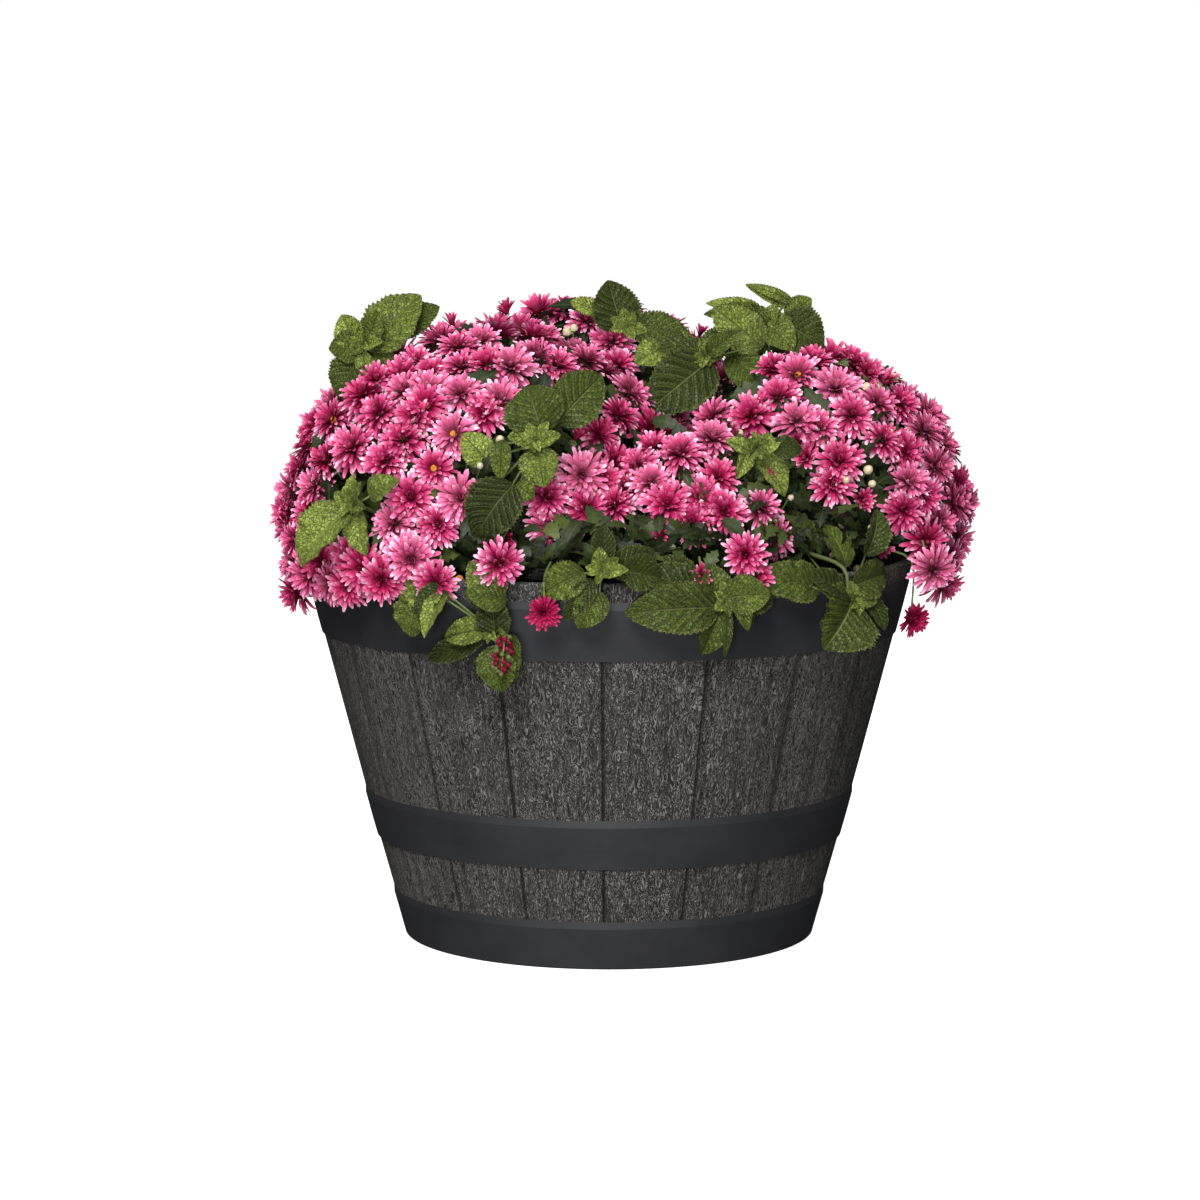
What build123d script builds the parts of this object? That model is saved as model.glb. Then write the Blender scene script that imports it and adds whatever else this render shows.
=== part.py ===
from build123d import *
from math import atan2, cos, degrees, hypot, radians, sin
import os

# Planted half barrel tub. Millimetres, +Z up, origin on the tub's axis at floor level.
# -Y is the front of the planting, the side with the leaves hanging over the rim.

# Driving dimensions of the tub. The stave line gives the outer radius at a few heights: the
# staves lean out a little less above each band than below it.
tub_height = 330.0
stave_line = [(0.0, 176.3), (106.0, 205.9), (287.0, 253.2), (330.0, 264.0)]
rim_radius = stave_line[-1][1]
stave_count = 18
first_groove = -1.37
wall = 5.5
lip_width = 9.0
lip_height = 14.0
floor_underside = 22.0
floor_thickness = 5.0

# Bands: height of the lower and upper edge, how far they stand proud, how deep they are seated
bands = {
    "bottom_band": (0.0, 35.8),
    "middle_band": (88.4, 124.3),
    "top_band": (265.6, 308.0),
}
band_proud = 1.5
band_seat = 1.0
band_bevel = 6.2
foot_round = 4.0

# V grooves between the staves, which run a little way in behind the bands
groove_width = 2.6
groove_depth = 1.6
groove_run_in = 0.8

# Floor: drain hole with its boss and plug, ribs and thin places to punch out for more holes
drain_radius = 10.0
boss_radius = 26.0
boss_wall = 4.0
boss_bottom = 10.0
rib_count = 6
rib_thickness = 3.0
rib_bottom = 9.0
punch_out_radius = 8.0
punch_out_depth = 2.6
punch_out_circle = 110.0
plug_clearance = 0.3
plug_flange_radius = 17.0
plug_flange = 3.0
plug_grip_radius = 6.0
plug_grip = 5.0

# Potting mix and root balls
soil_clearance = 0.5
soil_level = 300.0
root_ball_taper = 0.82
mum_root_radius = 70.0
mum_root_depth = 115.0
leafy_root_radius = 26.0
leafy_root_depth = 60.0

# Flower mounds: centre in plan, radius, top, and place of the root ball
mounds = {
    "left": dict(x=-103, y=-48, radius=182, top=533, root=(-100, -48)),
    "back": dict(x=-20, y=98, radius=170, top=552, root=(-12, 108)),
    "right": dict(x=170, y=15, radius=146, top=512, root=(138, 24)),
    "front": dict(x=66, y=-112, radius=118, top=455, root=(56, -118)),
}
mound_base = 332.0
bloom_depth = 24.0
mound_gap = 0.5
crown_radius = 8.0
branch_radius = 3.0
branch_count = 7
branch_spread = 58.0

# Leafy plants growing between the flowers: place of each root ball
leafy_plants = {"left": (-175, 62), "centre": (20, -20), "right": (165, -85)}
leafy_crown_radius = 4.0
leafy_branch_radius = 2.0
leafy_branch_count = 3
leafy_branch_spread = 22.0
leafy_branch_turn = 40.0
leaf_thickness = 2.5
stem_radius = 2.5

# Leafy shoots. at: where the leaves spring from; facing: degrees from the front towards +X;
# stem: further points down the stem; leaves: (start), (tip), width, offsets from "at" as the
# shoot is seen from the front, across, back and up. The back shoots are turned to face outward.
shoots = {
    "shoot_top_left": dict(
        at=(-205, -72, 512), facing=-15, stem=[(-180, -60, 480)],
        leaves=[
            ((3, 0, -2), (46, 6, 43), 42),
            ((24, 16, 8), (61, 22, 33), 26),
            ((-6, 0, 0), (-21, 4, 26), 24),
            ((4, -4, 4), (11, -8, 29), 19),
            ((-5, -4, -10), (-23, -12, -43), 29),
            ((-5, 0, -2), (-31, -4, -2), 26),
        ],
    ),
    "shoot_top_centre": dict(
        at=(16, 6, 524), facing=0, stem=[(14, 14, 492)],
        leaves=[
            ((-5, 0, -2), (-17, 0, 42), 38),
            ((4, -2, 0), (54, -10, -4), 28),
            ((-24, 14, 14), (-50, 18, 24), 14),
        ],
    ),
    "shoot_centre_right": dict(
        at=(82, -14, 500), facing=0, stem=[(78, 10, 470)],
        leaves=[
            ((5, -4, -2), (-50, -36, -44), 47),
            ((-36, -4, 8), (-60, -10, -3), 24),
            ((2, 0, 5), (-47, -4, 14), 20),
            ((2, -6, 3), (30, -14, 24), 15),
            ((50, 10, 8), (8, 12, 43), 32),
        ],
    ),
    "shoot_top_right": dict(
        at=(136, 16, 528), facing=0, stem=[(140, 20, 496)],
        leaves=[
            ((-3, 4, 11), (-52, 4, 18), 14),
            ((0, -8, -10), (-43, -14, 9), 29),
            ((18, 4, 14), (-17, 4, 34), 8),
            ((14, -2, 2), (50, -8, -19), 38),
            ((2, -8, 0), (23, -20, -22), 26),
        ],
    ),
    "shoot_centre_left": dict(
        at=(-58, -228, 440), facing=-8, stem=[(-56, -190, 425)],
        leaves=[
            ((4, 4, 8), (-8, 14, 46), 44),
            ((16, 12, 15), (52, 30, 53), 36),
            ((2, 0, 4), (-24, 0, 5), 15),
            ((0, -2, -4), (5, -8, -35), 29),
            ((-28, 2, 2), (-30, -2, -30), 15),
            ((-19, 0, -33), (-52, -2, -76), 40),
            ((-17, 0, -33), (-3, -4, -44), 20),
        ],
    ),
    "shoot_left": dict(
        at=(-206, -206, 388), facing=-35, stem=[(-185, -170, 375)],
        leaves=[
            ((-2, 0, -3), (-46, 8, -50), 37),
            ((1, 0, 3), (-2, 4, 26), 17),
            ((12, 0, 7), (35, -6, 22), 22),
            ((4, -2, -4), (7, -8, -40), 20),
        ],
    ),
    "shoot_young_right": dict(
        at=(117, -192, 432), facing=25, stem=[(112, -166, 415)],
        leaves=[
            ((-4, 0, 0), (-23, -6, 8), 12),
            ((4, -2, 0), (22, -2, 8), 11),
            ((14, -2, 2), (40, 6, 0), 18),
        ],
    ),
    "shoot_drape_left": dict(
        at=(-92, -258, 290), facing=-20, stem=[(-92, -256, 338), (-76, -210, 346)],
        leaves=[
            ((2, -2, 24), (-24, 4, 36), 18),
            ((2, -6, -4), (0, -4, 30), 25),
            ((-4, -6, 4), (-40, 8, -4), 20),
            ((-8, -6, -4), (-54, 18, -24), 18),
            ((2, -10, -8), (6, -12, -46), 29),
            ((14, -6, 0), (15, -8, -40), 21),
        ],
    ),
    "shoot_drape_far_left": dict(
        at=(-152, -232, 316), facing=-33, stem=[(-152, -230, 338), (-124, -186, 346)],
        leaves=[((0, -4, 0), (-10, 0, -32), 28)],
    ),
    "shoot_rim_centre": dict(
        at=(-7, -270, 340), facing=0, stem=[(-6, -228, 346)],
        leaves=[
            ((-13, 0, 0), (-48, -2, -17), 26),
            ((2, 2, 6), (2, 8, 38), 17),
            ((-5, -3, -6), (-30, -5, -38), 17),
            ((0, -4, -15), (-18, -8, -44), 25),
            ((18, 0, 1), (48, 2, -5), 26),
        ],
    ),
    "shoot_drape_right": dict(
        at=(90, -258, 314), facing=16, stem=[(90, -257, 338), (76, -212, 346)],
        leaves=[
            ((-4, -4, -3), (-78, -18, -6), 37),
            ((-6, -2, 5), (-11, -2, 32), 22),
            ((2, -2, 5), (41, 16, 3), 28),
            ((12, -2, 2), (22, 0, -20), 12),
            ((-2, -4, -5), (-16, -8, -41), 23),
            ((3, -6, -1), (2, -10, -43), 7),
        ],
    ),
    "shoot_drape_far_right": dict(
        at=(194, -196, 309), facing=44, stem=[(193, -195, 338), (160, -160, 346)],
        leaves=[
            ((-26, -20, 16), (-67, -46, 20), 30),
            ((-3, -4, -2), (-31, -26, 21), 17),
            ((3, -4, 0), (-20, -22, -37), 46),
            ((3, 2, 2), (27, 26, 8), 23),
        ],
    ),
    "shoot_back_left": dict(
        at=(-120, 226, 428), facing=-152, stem=[(-100, 186, 410)],
        leaves=[
            ((4, -2, 6), (-6, -8, 44), 40),
            ((10, -2, 2), (44, 4, 22), 30),
            ((-6, -2, 0), (-38, 4, -18), 30),
            ((2, -4, -6), (8, -10, -42), 26),
        ],
    ),
    "shoot_back_right": dict(
        at=(110, 246, 400), facing=156, stem=[(98, 206, 388)],
        leaves=[
            ((4, -2, 6), (12, -8, 42), 38),
            ((-8, -2, 2), (-42, 4, 20), 28),
            ((6, -2, -2), (40, 4, -16), 30),
            ((0, -4, -6), (-10, -8, -40), 28),
        ],
    ),
    "shoot_back_drape": dict(
        at=(16, 272, 332), facing=180, stem=[(16, 270, 340), (14, 226, 346)],
        leaves=[
            ((-8, -4, -2), (-46, 2, -14), 30),
            ((8, -4, -2), (44, 2, -20), 30),
            ((0, -6, -8), (-6, -10, -50), 28),
        ],
    ),
}

# Loose buds on thin stalks over the rim: centre of the bud, its radius, points of the stalk
buds = {
    "bud_right": ((259, -84, 281), 11, [(258, -92, 336), (222, -90, 344)]),
    "bud_front": ((-52, -285, 309), 10, [(-52, -273, 338), (-46, -230, 346)]),
}
stalk_radius = 1.2


def stave_radius(z):
    """Outer radius of the staves at height z."""
    for (z_low, r_low), (z_high, r_high) in zip(stave_line, stave_line[1:]):
        if z <= z_high or z_high == tub_height:
            return r_low + (r_high - r_low) * (z - z_low) / (z_high - z_low)


def stave_points(z_low, z_high, offset):
    """The stave line between two heights, moved outwards by the offset, from the bottom up."""
    heights = [z_low] + [z for z, radius in stave_line if z_low < z < z_high] + [z_high]
    return [(stave_radius(z) + offset, z) for z in heights]


def turned(points, angle=360):
    """A solid of revolution about Z from the corners of an outline in radius and height."""
    outline = make_face(Plane.XZ * Polyline(*points, close=True))
    return revolve(outline, Axis.Z, angle)


def band_outline(z_low, z_high):
    """Band section: seated inner face, outer face, and the bevel back to the staves."""
    z_end = z_high + band_bevel
    return stave_points(z_low, z_high, band_proud) + [
        (stave_radius(z_end), z_end),
        *reversed(stave_points(z_low, z_end, -band_seat)),
    ]


def rounded_foot_cut():
    """The ring cut away under the bottom band to round its foot."""
    tread = (stave_radius(0) - band_seat / 2, 0)
    side = (stave_radius(foot_round) + band_proud, foot_round)
    middle = (tread[0] + 0.71 * (side[0] - tread[0]), 0.29 * foot_round)
    outside = side[0] + foot_round
    corners = [side, (outside, foot_round), (outside, -foot_round), (tread[0], -foot_round), tread]
    rounding = ThreePointArc(tread, middle, side)
    return revolve(make_face(Plane.XZ * (rounding + Polyline(*corners))), Axis.Z)


def band(name):
    """One of the three dark bands round the tub."""
    z_low, z_high = bands[name]
    ring = turned(band_outline(z_low, z_high))
    return ring - rounded_foot_cut() if z_low == 0 else ring


def band_seats():
    """The shallow channels that the bands sit in, which end where the bands do."""
    outside = rim_radius + 10
    seats = []
    for z_low, z_high in bands.values():
        z_end = z_high + band_bevel
        seat_face = stave_points(z_low, z_end, -band_seat)
        seats.append(turned([*seat_face, (outside, z_end), (outside, z_low)]))
    return seats


def groove(z_low, z_high):
    """A three-sided cutter along one stretch of the stave line, at azimuth 0."""
    start = Vector(stave_radius(z_low), 0, z_low)
    end = Vector(stave_radius(z_high), 0, z_high)
    along = (end - start).normalized()
    across = Plane(start, x_dir=Vector(0, 1, 0), z_dir=along)
    outward = groove_depth
    slope = groove_width / 2 / groove_depth
    half = slope * (groove_depth + outward)
    corners = [(0, groove_depth), (half, -outward), (-half, -outward)]
    return extrude(across * make_face(Polyline(*corners, close=True)), (end - start).length)


def grooves():
    """The grooves between the staves, in the stretches that the bands leave bare."""
    edges = [edge for name in bands for edge in bands[name]][1:] + [tub_height]
    cutters = []
    for z_low, z_high in zip(edges[::2], edges[1::2]):
        cutter = groove(z_low + band_bevel - groove_run_in, z_high + groove_run_in)
        for i in range(stave_count):
            cutters.append(Rot(0, 0, 360 / stave_count * i - 90 + first_groove) * cutter)
    return cutters


def tub_walls():
    """The stave wall with its lip and floor, as one turned shape."""
    z_floor = floor_underside + floor_thickness
    z_lip = tub_height - lip_height
    inner_rim = rim_radius - lip_width
    underside = stave_points(0, floor_underside, -wall)
    inside = stave_points(z_floor, z_lip - 4, -wall)
    return turned([
        *stave_points(0, tub_height, 0),
        (inner_rim, tub_height),
        (inner_rim - 1.5, z_lip),
        *reversed(inside),
        (0, z_floor),
        (0, floor_underside),
        *reversed(underside),
    ])


def floor_ribs():
    """Ribs under the floor from the drain boss to the wall."""
    length = stave_radius(rib_bottom) - wall - boss_radius + 2
    height = floor_underside - rib_bottom
    rib = Box(length, rib_thickness, height, align=(Align.MIN, Align.CENTER, Align.MIN))
    step = 360 / rib_count
    place = Pos(boss_radius - 2, 0, rib_bottom)
    return [Rot(0, 0, step * i) * place * rib for i in range(rib_count)]


def tub_shell():
    """The moulded tub: staves with grooves, lip, raised floor, boss, ribs and punch-outs."""
    shell = tub_walls()
    boss_height = floor_underside - boss_bottom
    upwards = (Align.CENTER, Align.CENTER, Align.MIN)
    shell += Pos(0, 0, boss_bottom) * Cylinder(boss_radius, boss_height, align=upwards)
    shell += floor_ribs()
    inside_boss = Cylinder(boss_radius - boss_wall, boss_height, align=upwards)
    shell -= Pos(0, 0, boss_bottom) * inside_boss
    shell -= Cylinder(drain_radius, tub_height / 2, align=upwards)
    for i in range(rib_count):
        angle = radians(360 / rib_count * (i + 0.5))
        place = Pos(punch_out_circle * cos(angle), punch_out_circle * sin(angle), floor_underside)
        shell -= place * Cylinder(punch_out_radius, punch_out_depth, align=upwards)
    rim_edges = shell.edges().group_by(Axis.Z)[-1]
    shell = fillet(rim_edges, 2.5)
    shell -= band_seats()
    return shell - grooves()


def drain_plug():
    """Rubber plug pushed up into the drain hole, with a grip to pull it down by."""
    top = floor_underside + floor_thickness - 0.2
    z_flange = floor_underside - plug_clearance - plug_flange
    z_grip = z_flange - plug_grip
    shank_radius = drain_radius - plug_clearance
    upwards = (Align.CENTER, Align.CENTER, Align.MIN)
    plug = Pos(0, 0, z_flange) * Cylinder(shank_radius, top - z_flange, align=upwards)
    plug += Pos(0, 0, z_flange) * Cylinder(plug_flange_radius, plug_flange, align=upwards)
    plug += Pos(0, 0, z_grip) * Cylinder(plug_grip_radius, plug_grip, align=upwards)
    top_edge = plug.edges().group_by(Axis.Z)[-1]
    return chamfer(top_edge, 0.8)


def root_ball(x, y, radius, depth):
    """A pot-shaped root ball with its top level with the potting mix."""
    cone = Cone(radius * root_ball_taper, radius, depth, align=(Align.CENTER, Align.CENTER, Align.MAX))
    return Pos(x, y, soil_level) * cone


def all_root_balls():
    """Every root ball by node name."""
    balls = {}
    for name, mound in mounds.items():
        balls[f"mum_{name}_root_ball"] = root_ball(*mound["root"], mum_root_radius, mum_root_depth)
    for name, (x, y) in leafy_plants.items():
        balls[f"leafy_{name}_root_ball"] = root_ball(x, y, leafy_root_radius, leafy_root_depth)
    return balls


def potting_mix(balls):
    """The mix that fills the tub, with a pocket for each root ball."""
    z_bottom = floor_underside + floor_thickness + soil_clearance
    offset = -wall - soil_clearance
    mix = turned([(0, z_bottom), *stave_points(z_bottom, soil_level, offset), (0, soil_level)])
    return mix - list(balls)


def tube(points, radius):
    """A six-sided stem along straight runs, each a little longer than its stretch."""
    runs = []
    for start, end in zip(points, points[1:]):
        line = Line(start, end)
        section = Plane(line @ 0 - line % 0 * radius, z_dir=line % 0) * RegularPolygon(radius, 6)
        runs.append(extrude(section, line.length + 2 * radius))
    return runs[0].fuse(*runs[1:]) if len(runs) > 1 else runs[0]


def branching_stems(x, y, count, spread, crown, branch, turn):
    """Stems that fan out from the crown at the mix up to the underside of the foliage."""
    z_crown = soil_level + 6
    upwards = (Align.CENTER, Align.CENTER, Align.MIN)
    stems = Pos(x, y, soil_level) * Cylinder(crown, z_crown - soil_level + branch, align=upwards)
    arms = []
    for i in range(count):
        angle = radians(360 / count * i + turn)
        reach = spread * (0.6 + 0.4 * (i % 2))
        end = (x + reach * cos(angle), y + reach * sin(angle), mound_base + 2 * branch)
        arms.append(tube([(x, y, z_crown), end], branch))
    stems = stems.fuse(*arms)
    return stems - Pos(0, 0, mound_base) * Box(1200, 1200, 100, align=upwards)


def dome(mound, inset):
    """A round mound, which is a ball cut off level above the rim."""
    z_centre = mound["top"] - mound["radius"]
    ball = Pos(mound["x"], mound["y"], z_centre) * Sphere(mound["radius"] - inset)
    below = Box(1200, 1200, 600, align=(Align.CENTER, Align.CENTER, Align.MAX))
    return ball - Pos(0, 0, mound_base) * below


def trimmed_to_cell(shape, name):
    """Cuts a mound back from its neighbours along upright planes between them."""
    own = mounds[name]
    for other_name, other in mounds.items():
        if other_name == name:
            continue
        dx = other["x"] - own["x"]
        dy = other["y"] - own["y"]
        apart = hypot(dx, dy)
        to_plane = (apart ** 2 + own["radius"] ** 2 - other["radius"] ** 2) / (2 * apart)
        beyond = Box(1000, 2000, 2000, align=(Align.MIN, Align.CENTER, Align.CENTER))
        place = Pos(own["x"], own["y"], 0) * Rot(0, 0, degrees(atan2(dy, dx)))
        shape -= place * Pos(to_plane - mound_gap, 0, 0) * beyond
    return shape


def leaf(start, tip, width, facing):
    """A pointed leaf as a thin flat plate, turned to face a direction."""
    line = Line(start, tip)
    along = line % 0
    normal = facing - along * facing.dot(along)
    plane = Plane(line @ 0, x_dir=along, z_dir=normal)
    # Half outline from the stalk to the tip, as shares of the length and the width
    half_outline = [(0, 0.12), (0.22, 0.44), (0.5, 0.5), (0.8, 0.27), (1, 0.03)]
    upper = [(x * line.length, y * width) for x, y in half_outline]
    lower = [(x, -y) for x, y in reversed(upper)]
    outline = make_face(Polyline(*upper, *lower, close=True))
    return extrude(plane * outline, leaf_thickness / 2, both=True)


def shoot(at, facing, stem, leaves):
    """A leafy shoot: its stem and its leaves as one solid."""
    upward_tilt = 0.25
    angle = radians(facing)
    normal = Vector(sin(angle), -cos(angle), upward_tilt).normalized()
    turned_round = abs(facing) > 90
    pieces = []
    for start, tip, width in leaves:
        offsets = [Vector(*start), Vector(*tip)]
        if turned_round:
            offsets = [offset.rotate(Axis.Z, facing) for offset in offsets]
        ends = [Vector(*at) + offset for offset in offsets]
        pieces.append(leaf(ends[0], ends[1], width, normal))
        pieces.append(tube([at, ends[0]], stem_radius * 0.7))
    return tube([at] + stem, stem_radius).fuse(*pieces)


def bud(centre, radius, stalk):
    """A closed flower bud on its stalk."""
    return tube([centre] + stalk, stalk_radius).fuse(Pos(*centre) * Sphere(radius))


def main_solid(shape):
    """The largest solid of a shape, without the crumbs that a cut leaves."""
    return shape.solids().sort_by(SortBy.VOLUME)[-1]


def clear_of(shape, others):
    """Cuts pockets for the pieces whose boxes meet the shape's box."""
    box = shape.bounding_box()
    near = [other for other in others if box.overlaps(other.bounding_box())]
    return main_solid(shape - near) if near else main_solid(shape)


def planting():
    """Every piece of the planting by node name."""
    balls = all_root_balls()
    pieces = {"potting_mix": potting_mix(balls.values())}
    pieces.update(balls)
    growth = {name: shoot(**spec) for name, spec in shoots.items()}
    growth.update({name: bud(*spec) for name, spec in buds.items()})
    for name, mound in mounds.items():
        outer = trimmed_to_cell(dome(mound, 0), name)
        core = trimmed_to_cell(dome(mound, bloom_depth), name)
        pieces[f"mum_{name}_foliage"] = clear_of(core, growth.values())
        pieces[f"mum_{name}_blooms"] = clear_of(outer - core, growth.values())
        pieces[f"mum_{name}_stems"] = branching_stems(
            *mound["root"], branch_count, branch_spread, crown_radius, branch_radius, 0)
    for name, (x, y) in leafy_plants.items():
        pieces[f"leafy_{name}_stems"] = branching_stems(
            x, y, leafy_branch_count, leafy_branch_spread, leafy_crown_radius,
            leafy_branch_radius, leafy_branch_turn)
    pieces.update(growth)
    return pieces


nodes = {"tub_shell": tub_shell()}
for band_name in bands:
    nodes[band_name] = band(band_name)
nodes["drain_plug"] = drain_plug()
nodes.update(planting())

os.makedirs("parts", exist_ok=True)
for node_name, node in nodes.items():
    node.label = node_name
    export_step(node, f"parts/{node_name}.step")
    print(node_name, len(node.solids()), round(node.volume / 1000, 1), "cm3")
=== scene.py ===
import math

import bpy
import numpy as np
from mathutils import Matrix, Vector, noise


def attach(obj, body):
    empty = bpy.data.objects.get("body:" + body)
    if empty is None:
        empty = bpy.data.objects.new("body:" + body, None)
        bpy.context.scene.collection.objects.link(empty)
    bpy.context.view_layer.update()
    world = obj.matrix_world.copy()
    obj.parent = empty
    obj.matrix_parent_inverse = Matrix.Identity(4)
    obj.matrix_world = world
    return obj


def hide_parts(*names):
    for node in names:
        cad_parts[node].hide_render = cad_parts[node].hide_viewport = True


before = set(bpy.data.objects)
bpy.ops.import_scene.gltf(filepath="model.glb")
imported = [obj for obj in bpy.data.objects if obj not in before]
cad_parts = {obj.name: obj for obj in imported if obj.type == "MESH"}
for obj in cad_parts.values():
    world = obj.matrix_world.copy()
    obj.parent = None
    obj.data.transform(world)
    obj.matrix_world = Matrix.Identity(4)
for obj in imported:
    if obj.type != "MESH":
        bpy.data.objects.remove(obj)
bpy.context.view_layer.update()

# The view: from in front, a little above the rim, looking slightly down at the tub, with the
# tub's axis just right of the middle of the picture.
camera_place = (-0.0078, -3.0372, 0.6118)
camera_pitch = 6.064
camera_data = bpy.data.cameras.new("camera")
camera_data.sensor_width = 36
camera_data.lens = 105.4
camera = bpy.data.objects.new("camera", camera_data)
camera.location = camera_place
camera.rotation_euler = (math.radians(90 - camera_pitch), 0, 0)
bpy.context.scene.collection.objects.link(camera)
bpy.context.scene.camera = camera
bpy.context.scene.view_settings.view_transform = "Standard"


# Floor and light: a pale, matt studio floor that meets a white background, soft lamps in
# front, low in front, above and behind, and faint light from all round.

def add_node(tree, kind, inputs=None, **settings):
    """Adds a shader node, sets its options, and fills its inputs with values or links."""
    node = tree.nodes.new("ShaderNode" + kind)
    for name, value in settings.items():
        setattr(node, name, value)
    for name, value in (inputs or {}).items():
        if isinstance(value, bpy.types.NodeSocket):
            tree.links.new(value, node.inputs[name])
        else:
            node.inputs[name].default_value = value
    return node


def new_finish(name, roughness=0.5, specular=0.5):
    """A new material: its tree and its shader."""
    material = bpy.data.materials.new(name)
    material.use_nodes = True
    tree = material.node_tree
    shader = tree.nodes["Principled BSDF"]
    shader.inputs["Roughness"].default_value = roughness
    shader.inputs["Specular IOR Level"].default_value = specular
    return material, tree, shader


def ramp(tree, factor, stops):
    """Colours or greys along a factor from 0 to 1."""
    node = add_node(tree, "ValToRGB", {"Fac": factor})
    elements = node.color_ramp.elements
    while len(elements) < len(stops):
        elements.new(0.5)
    for element, (position, colour) in zip(elements, stops):
        element.position = position
        element.color = (*colour, 1) if isinstance(colour, tuple) else (colour, colour, colour, 1)
    return node.outputs["Color"]


floor_radius = 9.0
floor_sides = 96
floor_mesh = bpy.data.meshes.new("floor")
floor_mesh.from_pydata(
    [(floor_radius * math.cos(math.tau * i / floor_sides),
      floor_radius * math.sin(math.tau * i / floor_sides), 0) for i in range(floor_sides)],
    [], [tuple(range(floor_sides))])
floor = bpy.data.objects.new("floor", floor_mesh)
bpy.context.scene.collection.objects.link(floor)
floor_finish, tree, shader = new_finish("pale_floor", 0.9, 0.1)
cloudy = add_node(tree, "TexNoise", {"Scale": 1.5, "Detail": 3.0}).outputs["Fac"]
tree.links.new(ramp(tree, cloudy, [(0.3, 0.55), (0.7, 0.57)]), shader.inputs["Base Color"])
shader.inputs["Emission Color"].default_value = (1, 1, 1, 1)
shader.inputs["Emission Strength"].default_value = 0.96
floor_mesh.materials.append(floor_finish)
# Its own glow keeps it white to the horizon, and mustn't light the tub from below
floor.visible_diffuse = False
floor.visible_glossy = False


def mixed(tree, factor, a, b, blend="MIX"):
    """One colour laid over another by a factor."""
    node = add_node(tree, "Mix", {"Factor": factor}, data_type="RGBA", blend_type=blend)
    for socket, value in ((node.inputs[6], a), (node.inputs[7], b)):
        if isinstance(value, bpy.types.NodeSocket):
            tree.links.new(value, socket)
        else:
            socket.default_value = (*value, 1)
    return node.outputs[2]


world = bpy.data.worlds.new("studio")
bpy.context.scene.world = world
world.use_nodes = True
tree = world.node_tree
background = tree.nodes["Background"]
seen = add_node(tree, "LightPath").outputs["Is Camera Ray"]
tree.links.new(mixed(tree, seen, (0.055, 0.056, 0.060), (1.0, 1.0, 1.0)), background.inputs["Color"])


def soft_lamp(name, place, aim, size, power):
    """A square lamp turned towards a point."""
    lamp = bpy.data.lights.new(name, "AREA")
    lamp.size = size
    lamp.energy = power
    holder = bpy.data.objects.new(name, lamp)
    holder.location = place
    holder.rotation_euler = (Vector(aim) - Vector(place)).to_track_quat("-Z", "Y").to_euler()
    bpy.context.scene.collection.objects.link(holder)


soft_lamp("front_lamp", (-0.5, -3.1, 2.3), (0, 0, 0.35), 1.2, 112)
soft_lamp("low_front_lamp", (-0.25, -3.4, 0.3), (0, 0, 0.2), 0.8, 72)
soft_lamp("top_lamp", (-0.6, -1.2, 3.2), (0, 0, 0.4), 1.8, 30)
soft_lamp("back_lamp", (0.3, 3.3, 1.6), (0, 0, 0.3), 2.0, 75)


# Tub: a half barrel moulded in one piece of resin, with 18 staves parted by grooves. A weathered
# wood grain of short, crazed streaks runs up each stave, greyer on the ridges than in the pits.
stave_count = 18
first_groove = -91.37
stave_line = [(0.0, 0.1763), (0.106, 0.2059), (0.287, 0.2532), (0.330, 0.264)]


def math_node(tree, operation, a, b=0.0, c=0.0):
    """The result of a sum, product or other operation on numbers or links."""
    return add_node(tree, "Math", {0: a, 1: b, 2: c}, operation=operation).outputs[0]


def around_and_up(tree):
    """Distance round the tub and height, starting at the groove at the back."""
    place = add_node(tree, "TexCoord").outputs["Object"]
    seam = math.radians(180 - (first_groove + 180))
    turned = add_node(tree, "VectorRotate", {"Vector": place, "Angle": seam}, rotation_type="Z_AXIS")
    part = add_node(tree, "SeparateXYZ", {0: turned.outputs[0]}).outputs
    angle = math_node(tree, "ARCTAN2", part["Y"], part["X"])
    return angle, part["Z"]


def streaks(tree, angle, height, across, along, **settings):
    """Grain noise with so many streaks to a metre across and along the staves."""
    mean_radius = 0.22
    x = math_node(tree, "MULTIPLY", angle, across * mean_radius)
    z = math_node(tree, "MULTIPLY", height, along)
    spot = add_node(tree, "CombineXYZ", {"X": x, "Y": z}).outputs[0]
    return add_node(tree, "TexNoise", {"Vector": spot, "Scale": 1.0, **settings}).outputs["Fac"]


stave_finish, tree, shader = new_finish("weathered_grain", 0.62, 0.35)
angle, height = around_and_up(tree)
fine = streaks(tree, angle, height, 460, 170, Detail=2.0, Roughness=0.6, Distortion=0.8)
crazed = streaks(tree, angle, height, 290, 86, Detail=1.0, Roughness=0.5, Distortion=1.2)
long_grain = streaks(tree, angle, height, 140, 8, Detail=3.0, Roughness=0.55, Distortion=0.5)
patches = streaks(tree, angle, height, 20, 7, Detail=2.0, Roughness=0.5, Distortion=0.6)
# Pale ridges follow the level lines of the crazed noise, which wander up the stave
ridge = ramp(tree, crazed, [
    (0.30, 0.1), (0.38, 1.0), (0.45, 0.0), (0.52, 1.0), (0.58, 0.0), (0.65, 0.9), (0.72, 0.0)])
ridge_height = math_node(tree, "MULTIPLY", ridge, math_node(tree, "MULTIPLY_ADD", long_grain, 0.7, 0.25))
grain = math_node(tree, "MULTIPLY_ADD", ridge_height, 0.80, math_node(tree, "MULTIPLY", fine, 0.36))
tint = ramp(tree, grain, [
    (0.16, (0.0040, 0.0038, 0.0036)),
    (0.25, (0.015, 0.0143, 0.0133)),
    (0.36, (0.037, 0.0352, 0.0328)),
    (0.48, (0.092, 0.0875, 0.0815)),
    (0.64, (0.25, 0.238, 0.222)),
])
stave_share = math_node(tree, "MULTIPLY", angle, stave_count / math.tau)
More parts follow.
